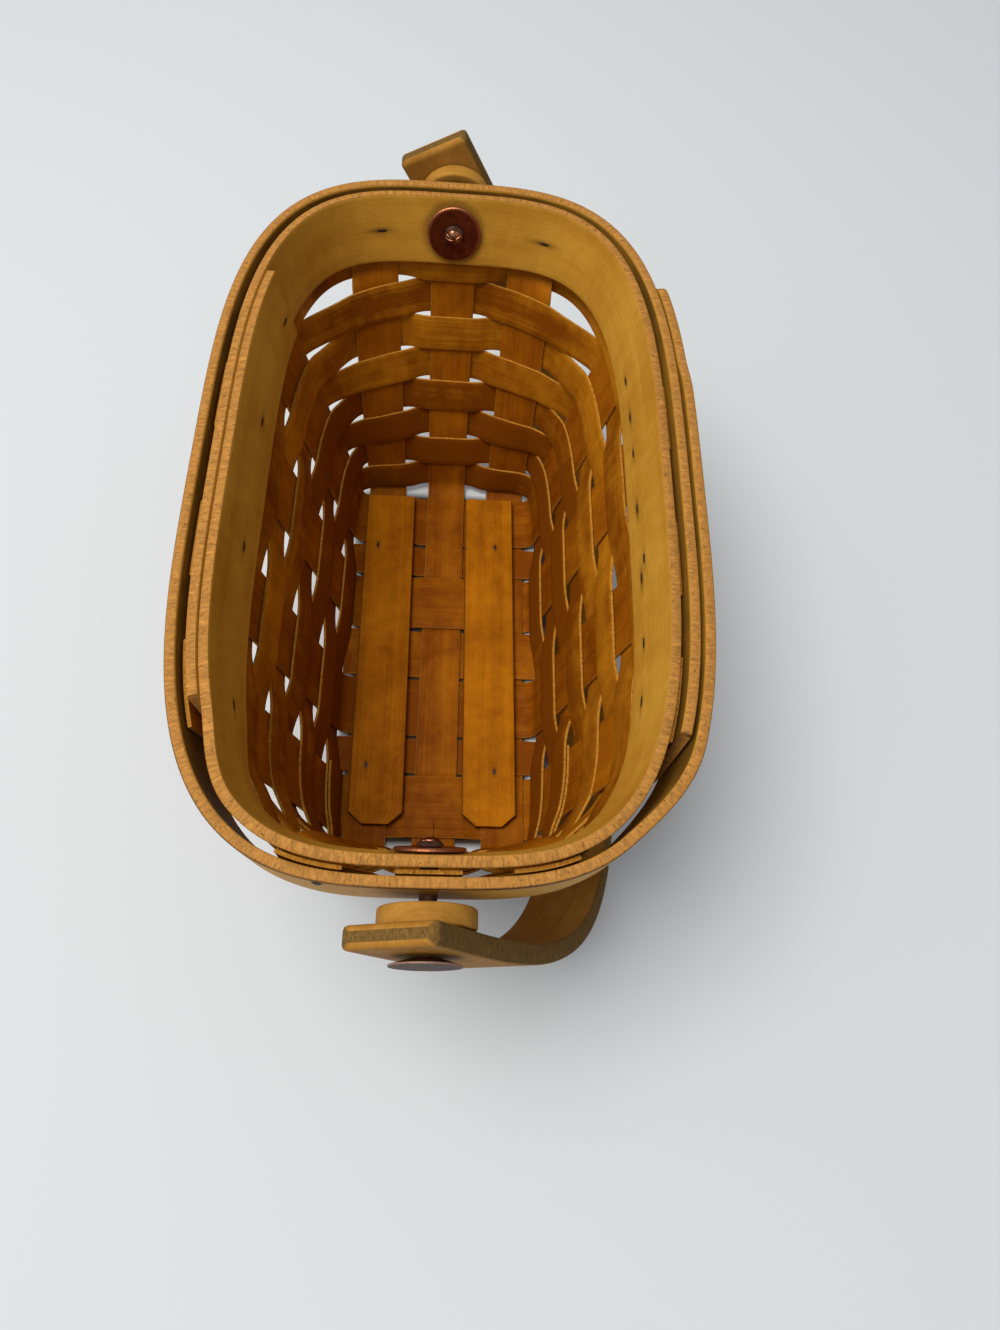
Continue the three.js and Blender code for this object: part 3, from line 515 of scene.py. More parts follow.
for row, (node, width, _) in enumerate(floor_rows):
    if node.startswith("cross"):
        shape, stations = cross_stake_surface(row), np.linspace(-1, 1, cross_stations)
    else:
        shape, stations = filler_surface(row), np.linspace(-1, 1, filler_stations)
        width += filler_swelling
    name = node.replace("stake", "splint") + "_wood"
    piece = strip(name, shape, stations, width, stake_thickness, stake_edge)
    piece.data.materials.append(stake_wood)
    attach(piece, "basket")
    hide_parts(node)

# Weavers
# Eight thinner and narrower splints, each woven once round the basket, in front of one upright
# and behind the next, and lapped over its own beginning. The top one meets end to end.

weaver_wood = maple(
    "weaver_maple", (0.55, 0.210, 0.009), (0.20, 0.052, 0.002), (0.56, 0.24, 0.03), low_painted_shade=0.3
)
weaver_thickness = 0.9 * mm
weaver_edge = 0.25 * mm
weaver_step = 1.6 * mm
weaver_width = 12.3 * mm
weaver_pitch = 12.8 * mm
first_row_bottom = 3.6 * mm
weaver_rows = 8
splint_gap = 0.2 * mm
weaver_swelling = 0.2 * mm
weaver_wander = 0.3 * mm
hug_margin = 0.8 * mm
butt_gap = 0.3 * mm
lap_uprights = 3
corner_lean = 1.2 * mm
crowding = 0.07
crowded_from, crowded_to = 0.62, 0.77
near_from, near_to = 0.5, 0.75
corner_from, corner_to = 0.54, 0.74
weave_offset = stake_thickness / 2 + splint_gap + weaver_thickness / 2
lap_step = weaver_thickness + splint_gap
stakes = [row for row, item in enumerate(floor_rows) if item[0].startswith("cross")]
stake_centres = [(row_far[row] + row_near[row]) / 2 for row in stakes]


def side_upright(centre, side):
    """A cross stake's width, and its point at height z, a distance ahead of its centre."""

    def point_at(z, ahead, loose):
        y = centre * (1 + cross_spread * z / rim_height) + side * ahead
        return side_wall(y, z, side, loose)

    return cross_width, point_at


def end_upright(place, end):
    """A long stake's width, and its point at height z, a distance ahead of its centre."""

    def point_at(z, ahead, loose):
        pitch = long_base_pitch + (long_rim_pitch - long_base_pitch) * z / rim_height
        return end_wall(place * pitch - end * ahead, z, end, loose)

    return long_stake_width, point_at


uprights = (
    [side_upright(centre, 1) for centre in reversed(stake_centres)]
    + [end_upright(place, 1) for place in (1, 0, -1)]
    + [side_upright(centre, -1) for centre in stake_centres]
    + [end_upright(place, -1) for place in (-1, 0, 1)]
)

# Uprights on the right wall, the far end, the left wall and the near end. The laps lie at the
# near left corner, from the last upright of the left wall on.
wall_of = np.repeat([0, 1, 2, 3], [4, 3, 4, 3])
lap_start = 10


def near_corner(points):
    """How much points belong to the near end, and to one of its two corners: smooth steps in the
    shares of the half length and half width."""
    half_x, half_y, _ = wall_section(points[..., 2])
    at_end = ease((-points[..., 1] / half_y - near_from) / (near_to - near_from))
    at_side = ease((np.abs(points[..., 0]) / half_x - corner_from) / (corner_to - corner_from))
    return at_end, at_end * at_side


def softened(points, rounds=3):
    """Points of a strip with its bends rounded: each row is moved a quarter of the way towards
    the rows before and after it, a few times over."""
    for _ in range(rounds):
        between = (points[:-2] + 2 * points[1:-1] + points[2:]) / 4
        points = np.concatenate([points[:1], between, points[-1:]])
    return points


def weaver_surface(row):
    """The middle surface of a weaver, and its stations.

    Station 2i is where it reaches the i-th upright that it passes and 2i + 1 where it leaves it.
    Between two stations the angle runs evenly, and the distance from the wall's middle surface
    is constant on an upright and a smooth step from one upright to the next. Below the bands it
    cuts the corners on a straight line. It wanders up and down a little, as splints do, and is
    swollen by a share on the long walls, where the rows are crowded. The top weaver leans out
    at the near end, and the others at its corners, the higher the more."""
    meets = row == weaver_rows - 1
    row_middle = first_row_bottom + row * weaver_pitch + weaver_width / 2
    laps = 0 if meets else lap_uprights
    first = lap_start + row % lap_uprights
    count = len(uprights) + max(laps, 1)
    order = (first + np.arange(count)) % len(uprights)
    outside = (order + row) % 2 == 1
    offset = np.where(outside, weave_offset, -weave_offset)
    passed = np.arange(count)
    offset[(passed < laps) & ~outside] -= lap_step
    offset[(laps > 0) & (passed >= len(uprights)) & outside] += lap_step
    offsets = np.repeat(offset, 2)
    lifts = np.random.default_rng(31 + row).uniform(-weaver_wander, weaver_wander, 2 * count)
    straight = np.zeros(2 * count - 1, bool)
    straight[1::2] = (wall_of[order[1:]] != wall_of[order[:-1]]) & (not meets)

    def knots(z):
        """The angles of all stations at each height in z, growing without a break."""
        angles = []
        for n, which in enumerate(order):
            width, point_at = uprights[which]
            half = width / 2 + hug_margin
            start = 0.0 if meets and n == 0 else -half
            finish = -butt_gap if meets and n == count - 1 else half
            for ahead in (start, finish):
                point = point_at(z, ahead, meets)
                angles.append(np.arctan2(point[..., 1], point[..., 0]))
        return np.unwrap(np.array(angles), axis=0)

    def surface(t, s):
        z = row_middle + s[0]
        low = np.clip(np.floor(t[:, 0]).astype(int), 0, 2 * count - 2)
        share = t - low[:, None]
        angle = knots(z)
        turned = angle[low] * (1 - share) + angle[low + 1] * share
        away = offsets[low][:, None] + (offsets[low + 1] - offsets[low])[:, None] * ease(share)
        point = wall_at(turned, z[None, :] + 0 * turned, meets)
        ends = wall_at(angle, z[None, :] + 0 * angle, meets)
        share = share[..., None]
        chord = ends[low] * (1 - share) + ends[low + 1] * share
        end_share = np.abs(point[..., 1]) / wall_section(point[..., 2])[1]
        along_side = 1 - ease((end_share - crowded_from) / (crowded_to - crowded_from))
        point[..., 2] += s * crowding * along_side
        at_end, corner = near_corner(point)
        away = away + near_lean * meets * (at_end - corner)
        away = away + corner_lean * (not meets) * corner * row / (weaver_rows - 1)
        sideways = leaving(ends, meets)
        sideways = sideways[low] * (1 - share) + sideways[low + 1] * share
        sideways /= np.linalg.norm(sideways, axis=-1, keepdims=True)
        cuts = straight[low][:, None, None]
        point, out = np.where(cuts, chord, point), np.where(cuts, sideways, leaving(point, meets))
        climb = (lifts[low + 1] - lifts[low])[:, None]
        point[..., 2] += lifts[low][:, None] + climb * ease(share[..., 0])
        return softened(point + out * away[..., None])

    middle = knots(np.array([row_middle]))[:, 0]
    level = np.full(len(middle), row_middle)
    lengths = np.linalg.norm(np.diff(wall_at(middle, level, meets), axis=0), axis=-1)
    counts = np.maximum(np.ceil(lengths / weaver_step).astype(int), 3)
    stations = np.concatenate([n + np.arange(steps) / steps for n, steps in enumerate(counts)])
    return surface, np.append(stations, 2 * count - 1)


for row in range(weaver_rows):
    shape, stations = weaver_surface(row)
    width = weaver_width + weaver_swelling
    hoop = strip(f"weaver_hoop_{row + 1}", shape, stations, width, weaver_thickness, weaver_edge)
    hoop.data.materials.append(weaver_wood)
    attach(hoop, "basket")
    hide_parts(f"weaver_{row + 1}")

# Rim bands
# Two thicker maple strips, steam bent, one inside and one outside the stakes, nailed through
# them and through each other. The ends lap on the long sides, and the covered ends are sawn
# at a slant.

band_wood = maple(
    "band_maple", (0.53, 0.265, 0.030), (0.37, 0.150, 0.010), (0.47, 0.205, 0.040), shine=0.12
)
band_thickness = 2.85 * mm
band_height = 21.8 * mm
band_edge = 0.45 * mm
side_top_gap = 1.1 * mm
end_top_gap = 0.95 * mm
knee_height = 105.7 * mm
weave_gap = weave_offset + weaver_thickness / 2 + 0.25 * mm
end_stand_off = 2.4 * mm
inner_corner = 0.4 * mm
inner_start, inner_lap, inner_lap_gap = 71 * mm, 142 * mm, 0.15 * mm
outer_start, outer_lap, outer_lap_gap = -75 * mm, 150 * mm, 0.4 * mm
outer_slack, slack_from, slack_run = 0.7 * mm, 30 * mm, 12 * mm
band_shift, shift_margin = 28 * mm, 2 * mm
slant = 10 * mm
outer_nose = 5 * mm
ring_steps, band_stations, band_columns = 2880, 640, 34


def band_gap(points, outer):
    """The room for the splints between a band and the walls' middle surface: that of the weave
    up to the top weaver's edge, and from there narrower to the rim. The outer band stands off
    from the end walls at its lower edge."""
    half_y = wall_section(points[..., 2])[1]
    z = points[..., 2]
    end_share = np.minimum(np.abs(points[..., 1]) / half_y, 1) ** 6
    top = side_top_gap + (end_top_gap - side_top_gap) * end_share
    rise = np.clip((z - knee_height) / (rim_height - knee_height), 0, 1)
    stand_off = end_stand_off * end_share * (rim_height - z) / band_height if outer else 0
    return weave_gap + (top - weave_gap) * rise + stand_off


def band_surface(outer, start_y, lap, lap_gap, layer):
    """The middle surface of a band, and its length.

    The strip starts on its side wall at start_y and runs counterclockwise once round and on over
    its lap. layer(length, turn) moves it from the layer on the uprights to the one on top. The
    outer band's free end has a round nose, and the covered ends are slanted. At the near
    corners the inner band's lower edge leans out a little."""
    way = 1 if outer else -1
    angles = np.linspace(0, 6 * np.pi, 3 * ring_steps + 1)
    ring = wall_at(angles, np.full(angles.shape, rim_height))
    lengths = np.concatenate([[0], np.cumsum(np.linalg.norm(np.diff(ring, axis=0), axis=-1))])
    turn = lengths[ring_steps]
    first = side_wall(np.array(start_y), np.array(rim_height), way)
    start = np.interp(np.arctan2(first[1], first[0]) % (2 * np.pi), angles, lengths)
    run = turn + lap

    def surface(t, s):
        low_share = 0.5 - s / band_height
        if outer:
            sheared = t - slant * low_share * (1 - ease(t / (3 * slant)))
            past = np.clip((t - (run - outer_nose)) / outer_nose, 0, 1)
            s = s * (1 - 2 * outer_nose / band_height * (1 - np.sqrt(1 - past**2)))
        else:
            sheared = t + slant * low_share * ease((t - run + 3 * slant) / (3 * slant))
        angle = np.interp(start + sheared, lengths, angles)
        point = wall_at(angle, rim_height - band_height / 2 + s + 0 * angle)
        move = layer(t, turn) * (band_thickness + lap_gap(t, run)) + band_thickness / 2
        away = way * (band_gap(point, outer) + move)
        if not outer:
            lowness = (rim_height - point[..., 2]) / band_height
            away = away + inner_corner * near_corner(point)[1] * lowness
        return point + leaving(point) * away[..., None]

    return surface, run


def nail_stain_and_washer_shadow(nails):
    """Darkening round each nail and washer: at a nail, stained wood in a bell that is long along the
    band and narrow across it, and at a washer a ring that fades outwards, partly oil-stained wood
    and partly painted shadow round the washer's rim."""

    def stain_and_shade(points):
        total = np.zeros(len(points))
        for x, y, z in nails:
            level = np.hypot(points[:, 0] - x, points[:, 1] - y) / nail_stain_length
            height = (points[:, 2] - z) / nail_stain_height
            total += darkest_stain_and_shadow * np.exp(-(level**2) - height**2)
        # The washer ring: partly oil-stained wood, partly painted shadow round the washer.
        past_washer = np.hypot(points[:, 0], points[:, 2] - pivot_height) - washer_ring_radius
        ring = washer_stain_and_shadow * np.exp(-((np.maximum(past_washer, 0) / washer_ring_fade) ** 2))
        total += np.where(np.abs(points[:, 1]) > end_wall_from, ring, 0)
        return np.clip(total, 0, darkest_stain_and_shadow)

    return stain_and_shade


pivot_height = 112 * mm
nail_stain_length, nail_stain_height = 4.0 * mm, 0.9 * mm
washer_ring_radius, washer_ring_fade = 9.4 * mm, 1.1 * mm
darkest_stain_and_shadow, washer_stain_and_shadow = 0.95, 0.5
end_wall_from = 80 * mm
inner_shape, inner_run = band_surface(
    False, inner_start, inner_lap, lambda t, run: inner_lap_gap,
    lambda t, turn: 1 - ease((t - inner_lap - shift_margin) / band_shift),
)
outer_shape, outer_run = band_surface(
    True, outer_start, outer_lap,
    lambda t, run: outer_lap_gap + outer_slack * ease((run - t - slack_from) / slack_run),
    lambda t, turn: ease((t - turn + band_shift + shift_margin) / band_shift),
)

# Where the nails come through the inner band: across, along and up, in millimetres
nail_places = [
    (-24.8, 104.1, 112), (29.2, 100.1, 112), (57.7, -0.3, 108), (61.0, -18.8, 110), (58.3, -24.0, 108),
    (59.2, -45.0, 108), (57.5, -62.7, 108), (57.8, 33.7, 108), (59.3, 48.6, 108), (60.1, 20.1, 108),
    (-57.5, -20.5, 110), (-54.6, -68.5, 110), (-57.1, 23.4, 110), (-55.4, 63.7, 110),
]
nails = [np.array(place) * mm for place in nail_places]
for name, node, shape, run in (
    ("inner_band_strip", "inner_band", inner_shape, inner_run),
    ("outer_band_strip", "outer_band", outer_shape, outer_run),
):
    # The outer band gets a dark line under its top outer arris, and painted shade over its inner face, for
    # the shade in the gap between the bands.
    band = strip(
        name, shape, np.linspace(0, run, band_stations), band_height, band_thickness, band_edge,
        columns=band_columns, stain_and_shade=nail_stain_and_washer_shadow(nails) if node == "inner_band" else None,
        dark_arris_and_back_shade=(0.85, 0.75) if node == "outer_band" else (0.0, 0.0),
    )
    band.data.materials.append(band_wood)
    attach(band, "basket")
    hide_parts(node)

# Nails
# Small dark nails: low round heads outside, and their points clinched over inside, where they
# show as dark eyes along the grain. The floor boards are held by the same ones.

tip_size = (2.1 * mm, 0.6 * mm, 0.22 * mm)
head_size = (1.4 * mm, 1.4 * mm, 0.35 * mm)
near_head_size = (1.6 * mm, 1.6 * mm, 0.6 * mm)
near_head_place = (-24.9 * mm, -140 * mm, 120.5 * mm)
sunk_share = 0.25
nail_oval = np.array([60, 105]) * mm
from_inside, from_outside, from_above = 12 * mm, 25 * mm, 30 * mm
dome_rings, dome_sides = 6, 20

nail_metal = bpy.data.materials.new("nail_metal")
nail_metal.use_nodes = True
nail_tree = nail_metal.node_tree
nail_shader = nail_tree.nodes["Principled BSDF"]
nail_place = shader_node(nail_tree, "ShaderNodeTexCoord").outputs["Object"]
spot_inputs = {"Vector": nail_place, "Scale": 1400.0, "Detail": 2.0}
nail_spots = shader_node(nail_tree, "ShaderNodeTexNoise", spot_inputs).outputs["Fac"]
nail_colour = mixed(nail_spots, (0.012, 0.006, 0.004, 1), (0.07, 0.035, 0.02, 1))
nail_tree.links.new(nail_colour, nail_shader.inputs["Base Color"])
nail_shader.inputs["Metallic"].default_value = 0.6
nail_shader.inputs["Roughness"].default_value = 0.55


def round_faces(rings, sides):
    """The faces of a grid that goes round: rings of four-sided faces between rows of points."""
    i, k = np.meshgrid(np.arange(rings) * sides, np.arange(sides), indexing="ij")
    following = (k + 1) % sides
    return np.stack([i + k, i + sides + k, i + sides + following, i + following], -1).reshape(-1, 4)


def close_poles(mesh):
    """Merges the doubled points of a round piece on its axis, and turns its faces outwards."""
    work = bmesh.new()
    work.from_mesh(mesh)
    bmesh.ops.remove_doubles(work, verts=work.verts, dist=1e-6)
    bmesh.ops.recalc_face_normals(work, faces=work.faces)
    work.to_mesh(mesh)
    work.free()


def dome(name, on_piece, start, reach, size):
    """A low dome on a piece's face: a paraboloid over an ellipse.

    A ray from start along reach finds the face. size is half the length, half the width and the
    height. The point at share r and angle a of the ellipse lies half_long r cos a along the
    grain, half_wide r sin a across it, and height (1 - r^2) above the face, less the share by
    which the nail is sunk."""
    half_long, half_wide, height = size
    _, place, normal, _ = on_piece.ray_cast(Vector(start), Vector(reach))
    normal = np.array(normal)
    along = np.cross([0, 0, 1.0], normal) if abs(normal[2]) < 0.7 else np.array([0, 1.0, 0])
    along /= np.linalg.norm(along)
    across = np.cross(normal, along)
    r = np.linspace(0, 1, dome_rings + 1)[:, None]
    a = 2 * np.pi * np.arange(dome_sides)[None, :] / dome_sides
    lift = height * (1 - r**2) - sunk_share * height
    points = (
        np.array(place)
        + half_long * (r * np.cos(a))[..., None] * along
        + half_wide * (r * np.sin(a))[..., None] * across
        + (lift + 0 * a)[..., None] * normal
    )
    flat, faces = points.reshape(-1, 3), round_faces(dome_rings, dome_sides)
    u, v = flat[faces, 0].reshape(-1), flat[faces, 1].reshape(-1)
    nail = wooden(name, flat, faces, u, v, np.zeros(faces.size))
    close_poles(nail.data)
    nail.data.materials.append(nail_metal)
    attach(nail, "basket")


bpy.context.view_layer.update()
inner_strip, outer_strip = bpy.data.objects["inner_band_strip"], bpy.data.objects["outer_band_strip"]
for number, place in enumerate(nails, 1):
    outwards = np.append(place[:2] / nail_oval**2, 0)
    outwards /= np.linalg.norm(outwards)
    dome(f"nail_tip_{number}", inner_strip, place - from_inside * outwards, outwards, tip_size)
    dome(f"nail_head_{number}", outer_strip, place + from_outside * outwards, -outwards, head_size)
dome("nail_head_near", outer_strip, near_head_place, (0, 1, 0), near_head_size)

# Floor boards
# Two planed maple boards, laid lengthwise on the woven floor and nailed down through it, with
# the corners of their near ends clipped.

board_wood = maple(
    "board_maple", (0.44, 0.145, 0.0035), (0.20, 0.051, 0.0013), (0.24, 0.08, 0.005), shine=0.02
)
clip_length, clip_width = 4.4 * mm, 5.0 * mm
board_edge = 0.6 * mm
board_skew = 0.012
board_stain_half, board_stain_depth, board_stain_share = np.array([0.8, 2.2]) * mm, 0.5 * mm, 0.8
board_columns = 30
board_nails = {
    "left": np.array([(-27.4, 47.2), (-25.9, -48.2)]) * mm,
    "right": np.array([(21.2, 48.2), (21.7, -49.5)]) * mm,
}
board_nail_size = (1.5 * mm, 0.7 * mm, 0.15 * mm)


def board_surface(node):
    """A flat board between its node's corners, a little askew. Near the near end the width
    shrinks evenly to what the clipped corners leave. Returns also its width and thickness."""
    low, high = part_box(node)
    middle = (low + high) / 2
    half_width = (high.x - low.x) / 2

    def surface(t, s):
        y = high.y + (low.y - high.y) * t
        share = np.clip((low.y + clip_length - y) / clip_length, 0, 1)
        x = middle.x - s * (1 - share * clip_width / half_width) - board_skew * y
        return np.stack(np.broadcast_arrays(x, y, 0 * x + 0 * y + middle.z), axis=-1)

    return surface, high.x - low.x, high.z - low.z


def board_stain(points):
    """Stains round the nails on the boards' tops, each longer along the board: a bell over the
    share of its half width and half length."""
    total = np.zeros(len(points))
    for place in np.concatenate(list(board_nails.values())):
        share = (points[:, :2] - place) / board_stain_half
        total += board_stain_share * np.exp(-np.sum(share**2, axis=-1))
    return np.where(points[:, 2] > board_top - board_stain_depth, total, 0)


board_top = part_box("floor_board_left")[1].z

# Stations along a board, close together where its corners are clipped
stations = np.concatenate([np.linspace(0, 0.968, 120), np.linspace(0.969, 1, 12)])
for side in ("left", "right"):
    shape, width, thickness = board_surface(f"floor_board_{side}")
    board = strip(
        f"board_{side}", shape, stations, width, thickness, board_edge,
        columns=board_columns, stain_and_shade=board_stain,
    )
    board.data.materials.append(board_wood)
    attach(board, "basket")
    for number, (x, y) in enumerate(board_nails[side], 1):
        dome(f"nail_{side}_{number}", board, (x, y, from_above), (0, 0, -1), board_nail_size)
    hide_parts(f"floor_board_{side}")

# Swing handle
# One thick maple strip, steam bent to a flat-topped bow, that hangs on the rivets by its two legs
# and lies down against the right wall.

handle_wood = maple("handle_maple", (0.40, 0.190, 0.036), (0.25, 0.100, 0.012), (0.18, 0.098, 0.026))
rest_turn = np.radians(152.04)
handle_width, handle_thickness, handle_edge = 24 * mm, 5.5 * mm, 1.1 * mm
inner_half_span, inner_rise = 122.3 * mm, 112.5 * mm
handle_half_span = inner_half_span + handle_thickness / 2
handle_tail = 17.5 * mm
handle_shoulder = 0.75 * handle_tail
handle_rise = inner_rise + handle_thickness / 2 + handle_shoulder
handle_squareness = 3.45
handle_nose = 1.7 * mm
tip_thickness_share = 0.45
bow_stations, handle_columns = 260, 11


def tail_round(t):
    """The quarter circle by which the tails are rounded: 1 up to the nose and 0 at the end."""
    nose_share = handle_nose / (handle_tail - handle_shoulder)
    past = np.clip((np.abs(t - 0.5) - 1.5 + nose_share) / nose_share, 0, 1)
    return np.sqrt(1 - past**2)


def handle_surface(t, s):
    """The middle surface of the handle at rest: t from 0 to 1 is a superellipse bow over the
    pivot line, and beyond that the legs run on straight as tails. The whole is turned about the
    pivot line to where it lies."""
    angle = np.pi * np.clip(t, 0, 1)
    along = np.abs(np.cos(angle) / handle_half_span) ** handle_squareness
    up = np.abs(np.sin(angle) / handle_rise) ** handle_squareness
    radius = (along + up) ** (-1 / handle_squareness)
    tail = np.maximum(-t, 0) + np.maximum(t - 1, 0)
    y = radius * np.cos(angle) + 0 * s
    s = s * (1 - 2 * handle_nose / handle_width * (1 - tail_round(t)))
    reach = radius * np.sin(angle) - handle_shoulder - tail * (handle_tail - handle_shoulder) + 0 * s
    x = s * np.cos(rest_turn) + reach * np.sin(rest_turn)
    z = pivot_height - s * np.sin(rest_turn) + reach * np.cos(rest_turn)
    return np.stack(np.broadcast_arrays(x, y, z), axis=-1)


# Stations along a tail, close together where its end is rounded
nose = np.array([-1, -0.998, -0.99, -0.97, -0.94, -0.9, -0.84, -0.77, -0.7, -0.6, -0.5, -0.3, -0.1])
stations = np.concatenate([nose, np.linspace(0, 1, bow_stations), 1 - nose[::-1]])
handle = strip(
    "handle_bow", handle_surface, stations, handle_width, handle_thickness, handle_edge,
    columns=handle_columns,
    thinning=lambda t: tip_thickness_share + (1 - tip_thickness_share) * tail_round(t),
)
handle.data.materials.append(handle_wood)
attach(handle, "handle")
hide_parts("swing_handle")

# Spacer discs, rivets and washers
# Two turned maple discs keep the handle clear of the outer band. A copper rivet goes through
# handle, disc, bands and centre stake, and is hammered out over a washer on the inside.

disc_wood = maple("disc_maple", (0.38, 0.180, 0.030), (0.22, 0.088, 0.010), (0.36, 0.175, 0.03), figure=1.6)


def old_copper(name, bright, dull, roughness, lip_radius=None, lip=None, metallic=1.0, shine=0.5):
    """Handled copper: brown patina in patches over bright metal, with fine scratches. A lip beyond
    lip_radius from the pivot line is lighter: rubbed bright on a washer, and on a rivet head a
    painted highlight along the rim."""
    material = bpy.data.materials.new(name)
    material.use_nodes = True
    tree = material.node_tree
    shader = tree.nodes["Principled BSDF"]
    place = shader_node(tree, "ShaderNodeTexCoord").outputs["Object"]
    patina, scratches = (
        shader_node(tree, "ShaderNodeTexNoise", {"Vector": place, **pattern}).outputs["Fac"]
        for pattern in ({"Scale": 420.0, "Detail": 4.0}, {"Scale": 1900.0, "Detail": 2.0})
    )
    colour = mixed(within(patina, 0.35, 0.7), (*dull, 1), (*bright, 1))
    if lip_radius:
        level = {"Location": (0, 0, -pivot_height), "Scale": (1, 0, 1)}
        arm = shader_node(tree, "ShaderNodeMapping", {"Vector": place, **level}).outputs[0]
        away = shader_node(tree, "ShaderNodeVectorMath", {0: arm}, operation="LENGTH").outputs["Value"]
        colour = mixed(within(away, lip_radius, lip_radius + lip_fade), colour, (*lip, 1))
    tree.links.new(colour, shader.inputs["Base Color"])
    rough = within(scratches, 0.3, 0.7, roughness - 0.08, roughness + 0.12)
    tree.links.new(rough, shader.inputs["Roughness"])
    shader.inputs["Metallic"].default_value = metallic
    shader.inputs["Specular IOR Level"].default_value = shine
    bump = shader_node(tree, "ShaderNodeBump", {"Strength": 0.4, "Distance": 0.06 * mm, "Height": patina})
    tree.links.new(bump.outputs[0], shader.inputs["Normal"])
    return material


head_radius, washer_radius = (
    (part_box(node)[1].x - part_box(node)[0].x) / 2 for node in ("handle_rivet_far", "rivet_washer_far")
)
lip_fade = 0.3 * mm
washer_copper = old_copper(
    "washer_copper", (0.22, 0.052, 0.020), (0.12, 0.024, 0.008), 0.45,
    lip_radius=washer_radius - 0.9 * mm, lip=(0.34, 0.12, 0.055),
)
# The rivet heads' pale lip is a painted highlight along the rim of the head.
rivet_copper = old_copper(
    "rivet_copper", (0.10, 0.040, 0.024), (0.03, 0.012, 0.008), 0.5,
    lip_radius=head_radius - 0.25 * mm, lip=(0.34, 0.20, 0.14), metallic=0.2, shine=0.08,
)
peen_copper = old_copper("peen_copper", (0.60, 0.27, 0.15), (0.16, 0.05, 0.022), 0.3)


def turned(name, profile, place, sides=72):
    """A turned piece: a profile of (radius, length) pairs carried round an axis.

    The ring at angle a of a profile point is its radius times (cos a, sin a) with its length
    along the axis; place(points) sets the piece where it goes."""
    radius, along = np.array(profile).T
    angle = 2 * np.pi * np.arange(sides) / sides
    x, y = np.outer(radius, np.cos(angle)), np.outer(radius, np.sin(angle))
    flat = np.stack([x, y, np.outer(along, np.ones(sides))], -1).reshape(-1, 3)
    faces = round_faces(len(radius) - 1, sides)
    run = np.concatenate([[0], np.cumsum(np.hypot(np.diff(radius), np.diff(along)))])
    u = flat[faces, 0].reshape(-1)
    v = (flat[faces, 1] + run[faces // sides]).reshape(-1)
    piece = wooden(name, place(flat), faces, u, v, np.zeros(faces.size))
    close_poles(piece.data)
    return piece


def on_pivot(end, start):
    """Sets a piece turned about Z on the pivot line of one end, from y = start outwards."""

    def place(points):
        return np.stack([end * points[:, 0], end * (start + points[:, 2]), pivot_height + points[:, 1]], -1)

    return place


def hammered(end, start):
    """Like on_pivot, with every point off the axis knocked aside at random, as a hammer does."""

    def place(points):
        off_axis = np.hypot(points[:, 0], points[:, 1]) > 0.1 * mm
        knocks = np.random.default_rng(7 + end).normal(0, knock_depth, points.shape)
        return on_pivot(end, start)(points + knocks * off_axis[:, None])

    return place


def rounded(inner, outer, height, edge):
    """A ring's section: a rectangle from inner to outer radius with four-step rounded rims."""
    turn = np.linspace(0, np.pi / 2, 5)
    low = [(outer - edge + edge * np.sin(a), edge - edge * np.cos(a)) for a in turn]
    high = [(outer - edge + edge * np.cos(a), height - edge + edge * np.sin(a)) for a in turn]
    return [(inner, 0), *low, *high, (inner, height), (inner, 0)]


disc_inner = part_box("spacer_disc_far")[0].y
disc_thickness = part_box("spacer_disc_far")[1].y - disc_inner
disc_radius, disc_bore, disc_edge = 11.8 * mm, 2.5 * mm, 0.7 * mm
disc_section = rounded(disc_bore, disc_radius, disc_thickness, disc_edge)
peen_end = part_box("handle_rivet_far")[0].y
peen_section = mm * np.array(
    [(0.0, -0.35), (0.8, -0.3), (1.6, -0.05), (2.3, 0.35), (2.9, 0.9), (2.8, 1.5), (0.0, 1.6)]
)
knock_depth = 0.10 * mm

for end, side in ((1, "far"), (-1, "near")):
    disc = turned(f"turned_disc_{side}", disc_section, on_pivot(end, disc_inner))
    disc.data.materials.append(disc_wood)
    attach(disc, "basket")
    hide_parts(f"spacer_disc_{side}")

    peen = turned(f"peened_end_{side}", peen_section, hammered(end, peen_end), sides=48)
    peen.data.materials.append(peen_copper)
    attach(peen, "basket")

    for node, finish in ((f"handle_rivet_{side}", rivet_copper), (f"rivet_washer_{side}", washer_copper)):
        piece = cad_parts[node]
        piece.data.materials.clear()
        piece.data.materials.append(finish)

# Studio
# A pale floor with a painted shadow, dark brown, where the basket stands on it, a large soft lamp
# high on the left, a world that glows most from there, and the camera, close above the near end.

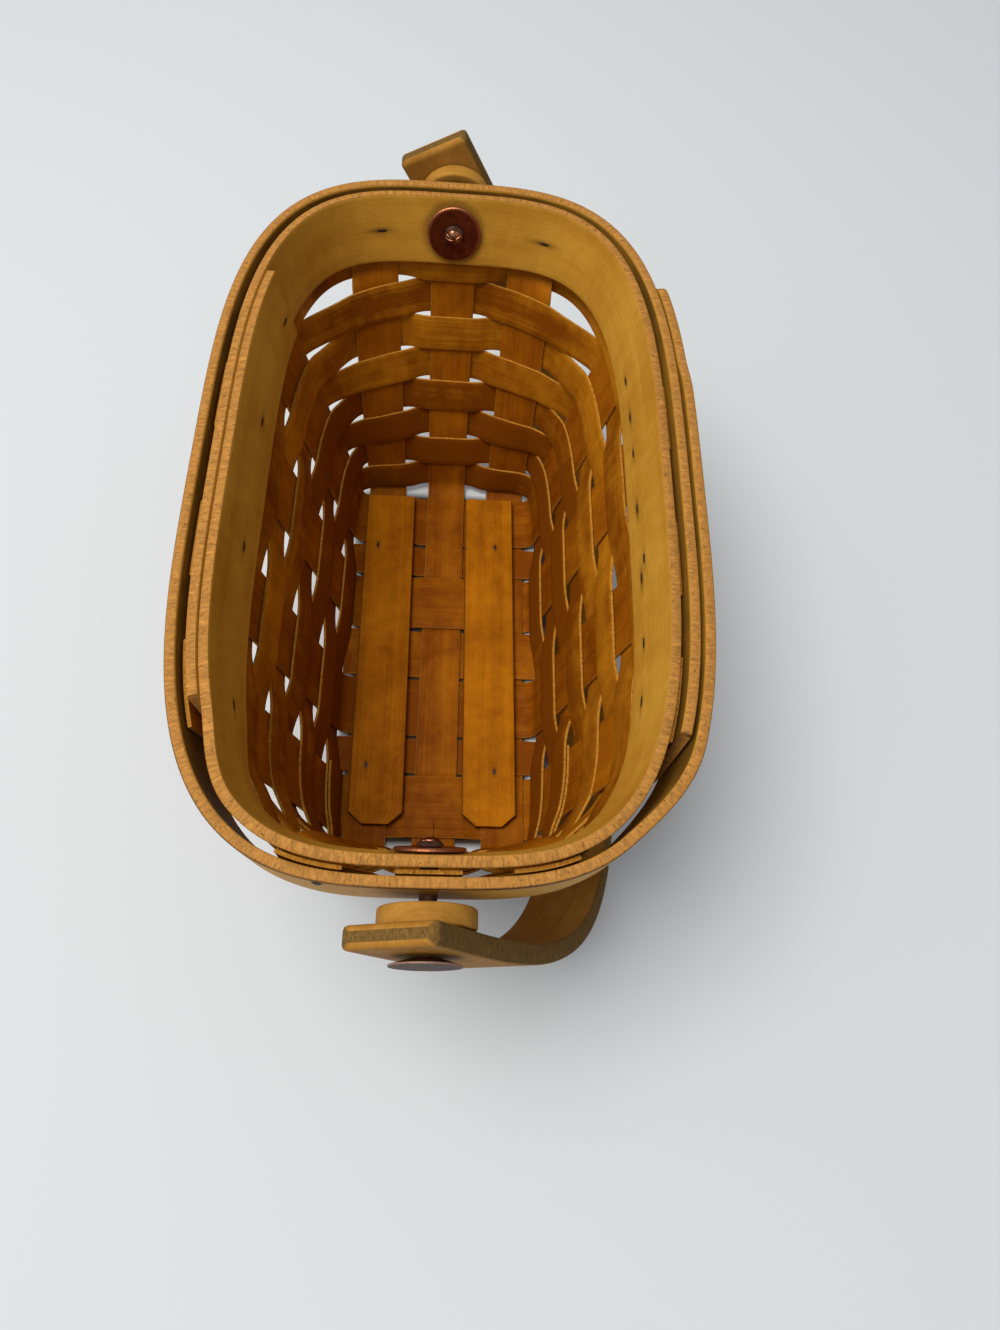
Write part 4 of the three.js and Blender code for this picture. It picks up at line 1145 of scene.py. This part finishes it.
floor_mesh = bpy.data.meshes.new("studio_floor")
studio_reach = 3.0
floor_corners = [
    (x * studio_reach, y * studio_reach, 0) for x, y in ((-1, -1), (1, -1), (1, 1), (-1, 1))
]
floor_mesh.from_pydata(floor_corners, [], [(0, 1, 2, 3)])
floor = bpy.data.objects.new("studio_floor", floor_mesh)
bpy.context.scene.collection.objects.link(floor)
floor_paint = bpy.data.materials.new("studio_floor")
floor_paint.use_nodes = True
floor_shader = floor_paint.node_tree.nodes["Principled BSDF"]
floor_tree = floor_paint.node_tree
floor_place = shader_node(floor_tree, "ShaderNodeTexCoord").outputs["Object"]
from_middle = shader_node(floor_tree, "ShaderNodeVectorMath", {0: floor_place}, operation="ABSOLUTE")
floor_axes = shader_node(floor_tree, "ShaderNodeSeparateXYZ", {0: from_middle.outputs[0]}).outputs
shade_fade = 3 * mm
shade_x, shade_y = (
    within(floor_axes[axis], half, half - shade_fade)
    for axis, half in (("X", base_half[0]), ("Y", base_half[1] - 1 * mm))
)
# Painted shadow: the floor is painted dark brown inside the basket's footprint, fading out over shade_fade.
floor_colour = mixed(times(shade_x, shade_y), (0.565, 0.58, 0.585, 1), (0.03, 0.015, 0.008, 1))
floor_tree.links.new(floor_colour, floor_shader.inputs["Base Color"])
floor_shader.inputs["Roughness"].default_value = 0.9
floor_mesh.materials.append(floor_paint)

world = bpy.data.worlds.new("studio")
world.use_nodes = True
sky = world.node_tree
way = shader_node(sky, "ShaderNodeTexCoord").outputs["Generated"]
window_way = (-0.58, -0.06, 0.81)
towards = shader_node(sky, "ShaderNodeVectorMath", {0: way, 1: window_way}, operation="DOT_PRODUCT")
glow = within(towards.outputs["Value"], -1.0, 1.0, 0.12)
sky.links.new(times(times(glow, glow), 0.98), sky.nodes["Background"].inputs["Strength"])
sky.nodes["Background"].inputs["Color"].default_value = (0.90, 0.95, 1.0, 1)
bpy.context.scene.world = world

lamp_data = bpy.data.lights.new("window", "AREA")
lamp_data.shape = "DISK"
lamp_data.size = 0.75
lamp_data.energy = 14
lamp_data.color = (1.0, 0.98, 0.94)
lamp = bpy.data.objects.new("window", lamp_data)
lamp.location = (-0.40, -0.06, 1.25)
lamp.rotation_euler = (-lamp.location).to_track_quat("-Z", "Y").to_euler()
bpy.context.scene.collection.objects.link(lamp)

camera_data = bpy.data.cameras.new("camera")
camera_data.sensor_width = 36.0
camera_data.lens = 24.189
camera_data.clip_start = 0.01
camera = bpy.data.objects.new("camera", camera_data)
camera.location = (0.0020328, -0.1513166, 0.3250118)
camera.rotation_euler = (0.4265, -0.0706, 0.0067)
bpy.context.scene.collection.objects.link(camera)
bpy.context.scene.camera = camera
bpy.context.scene.view_settings.view_transform = "Standard"
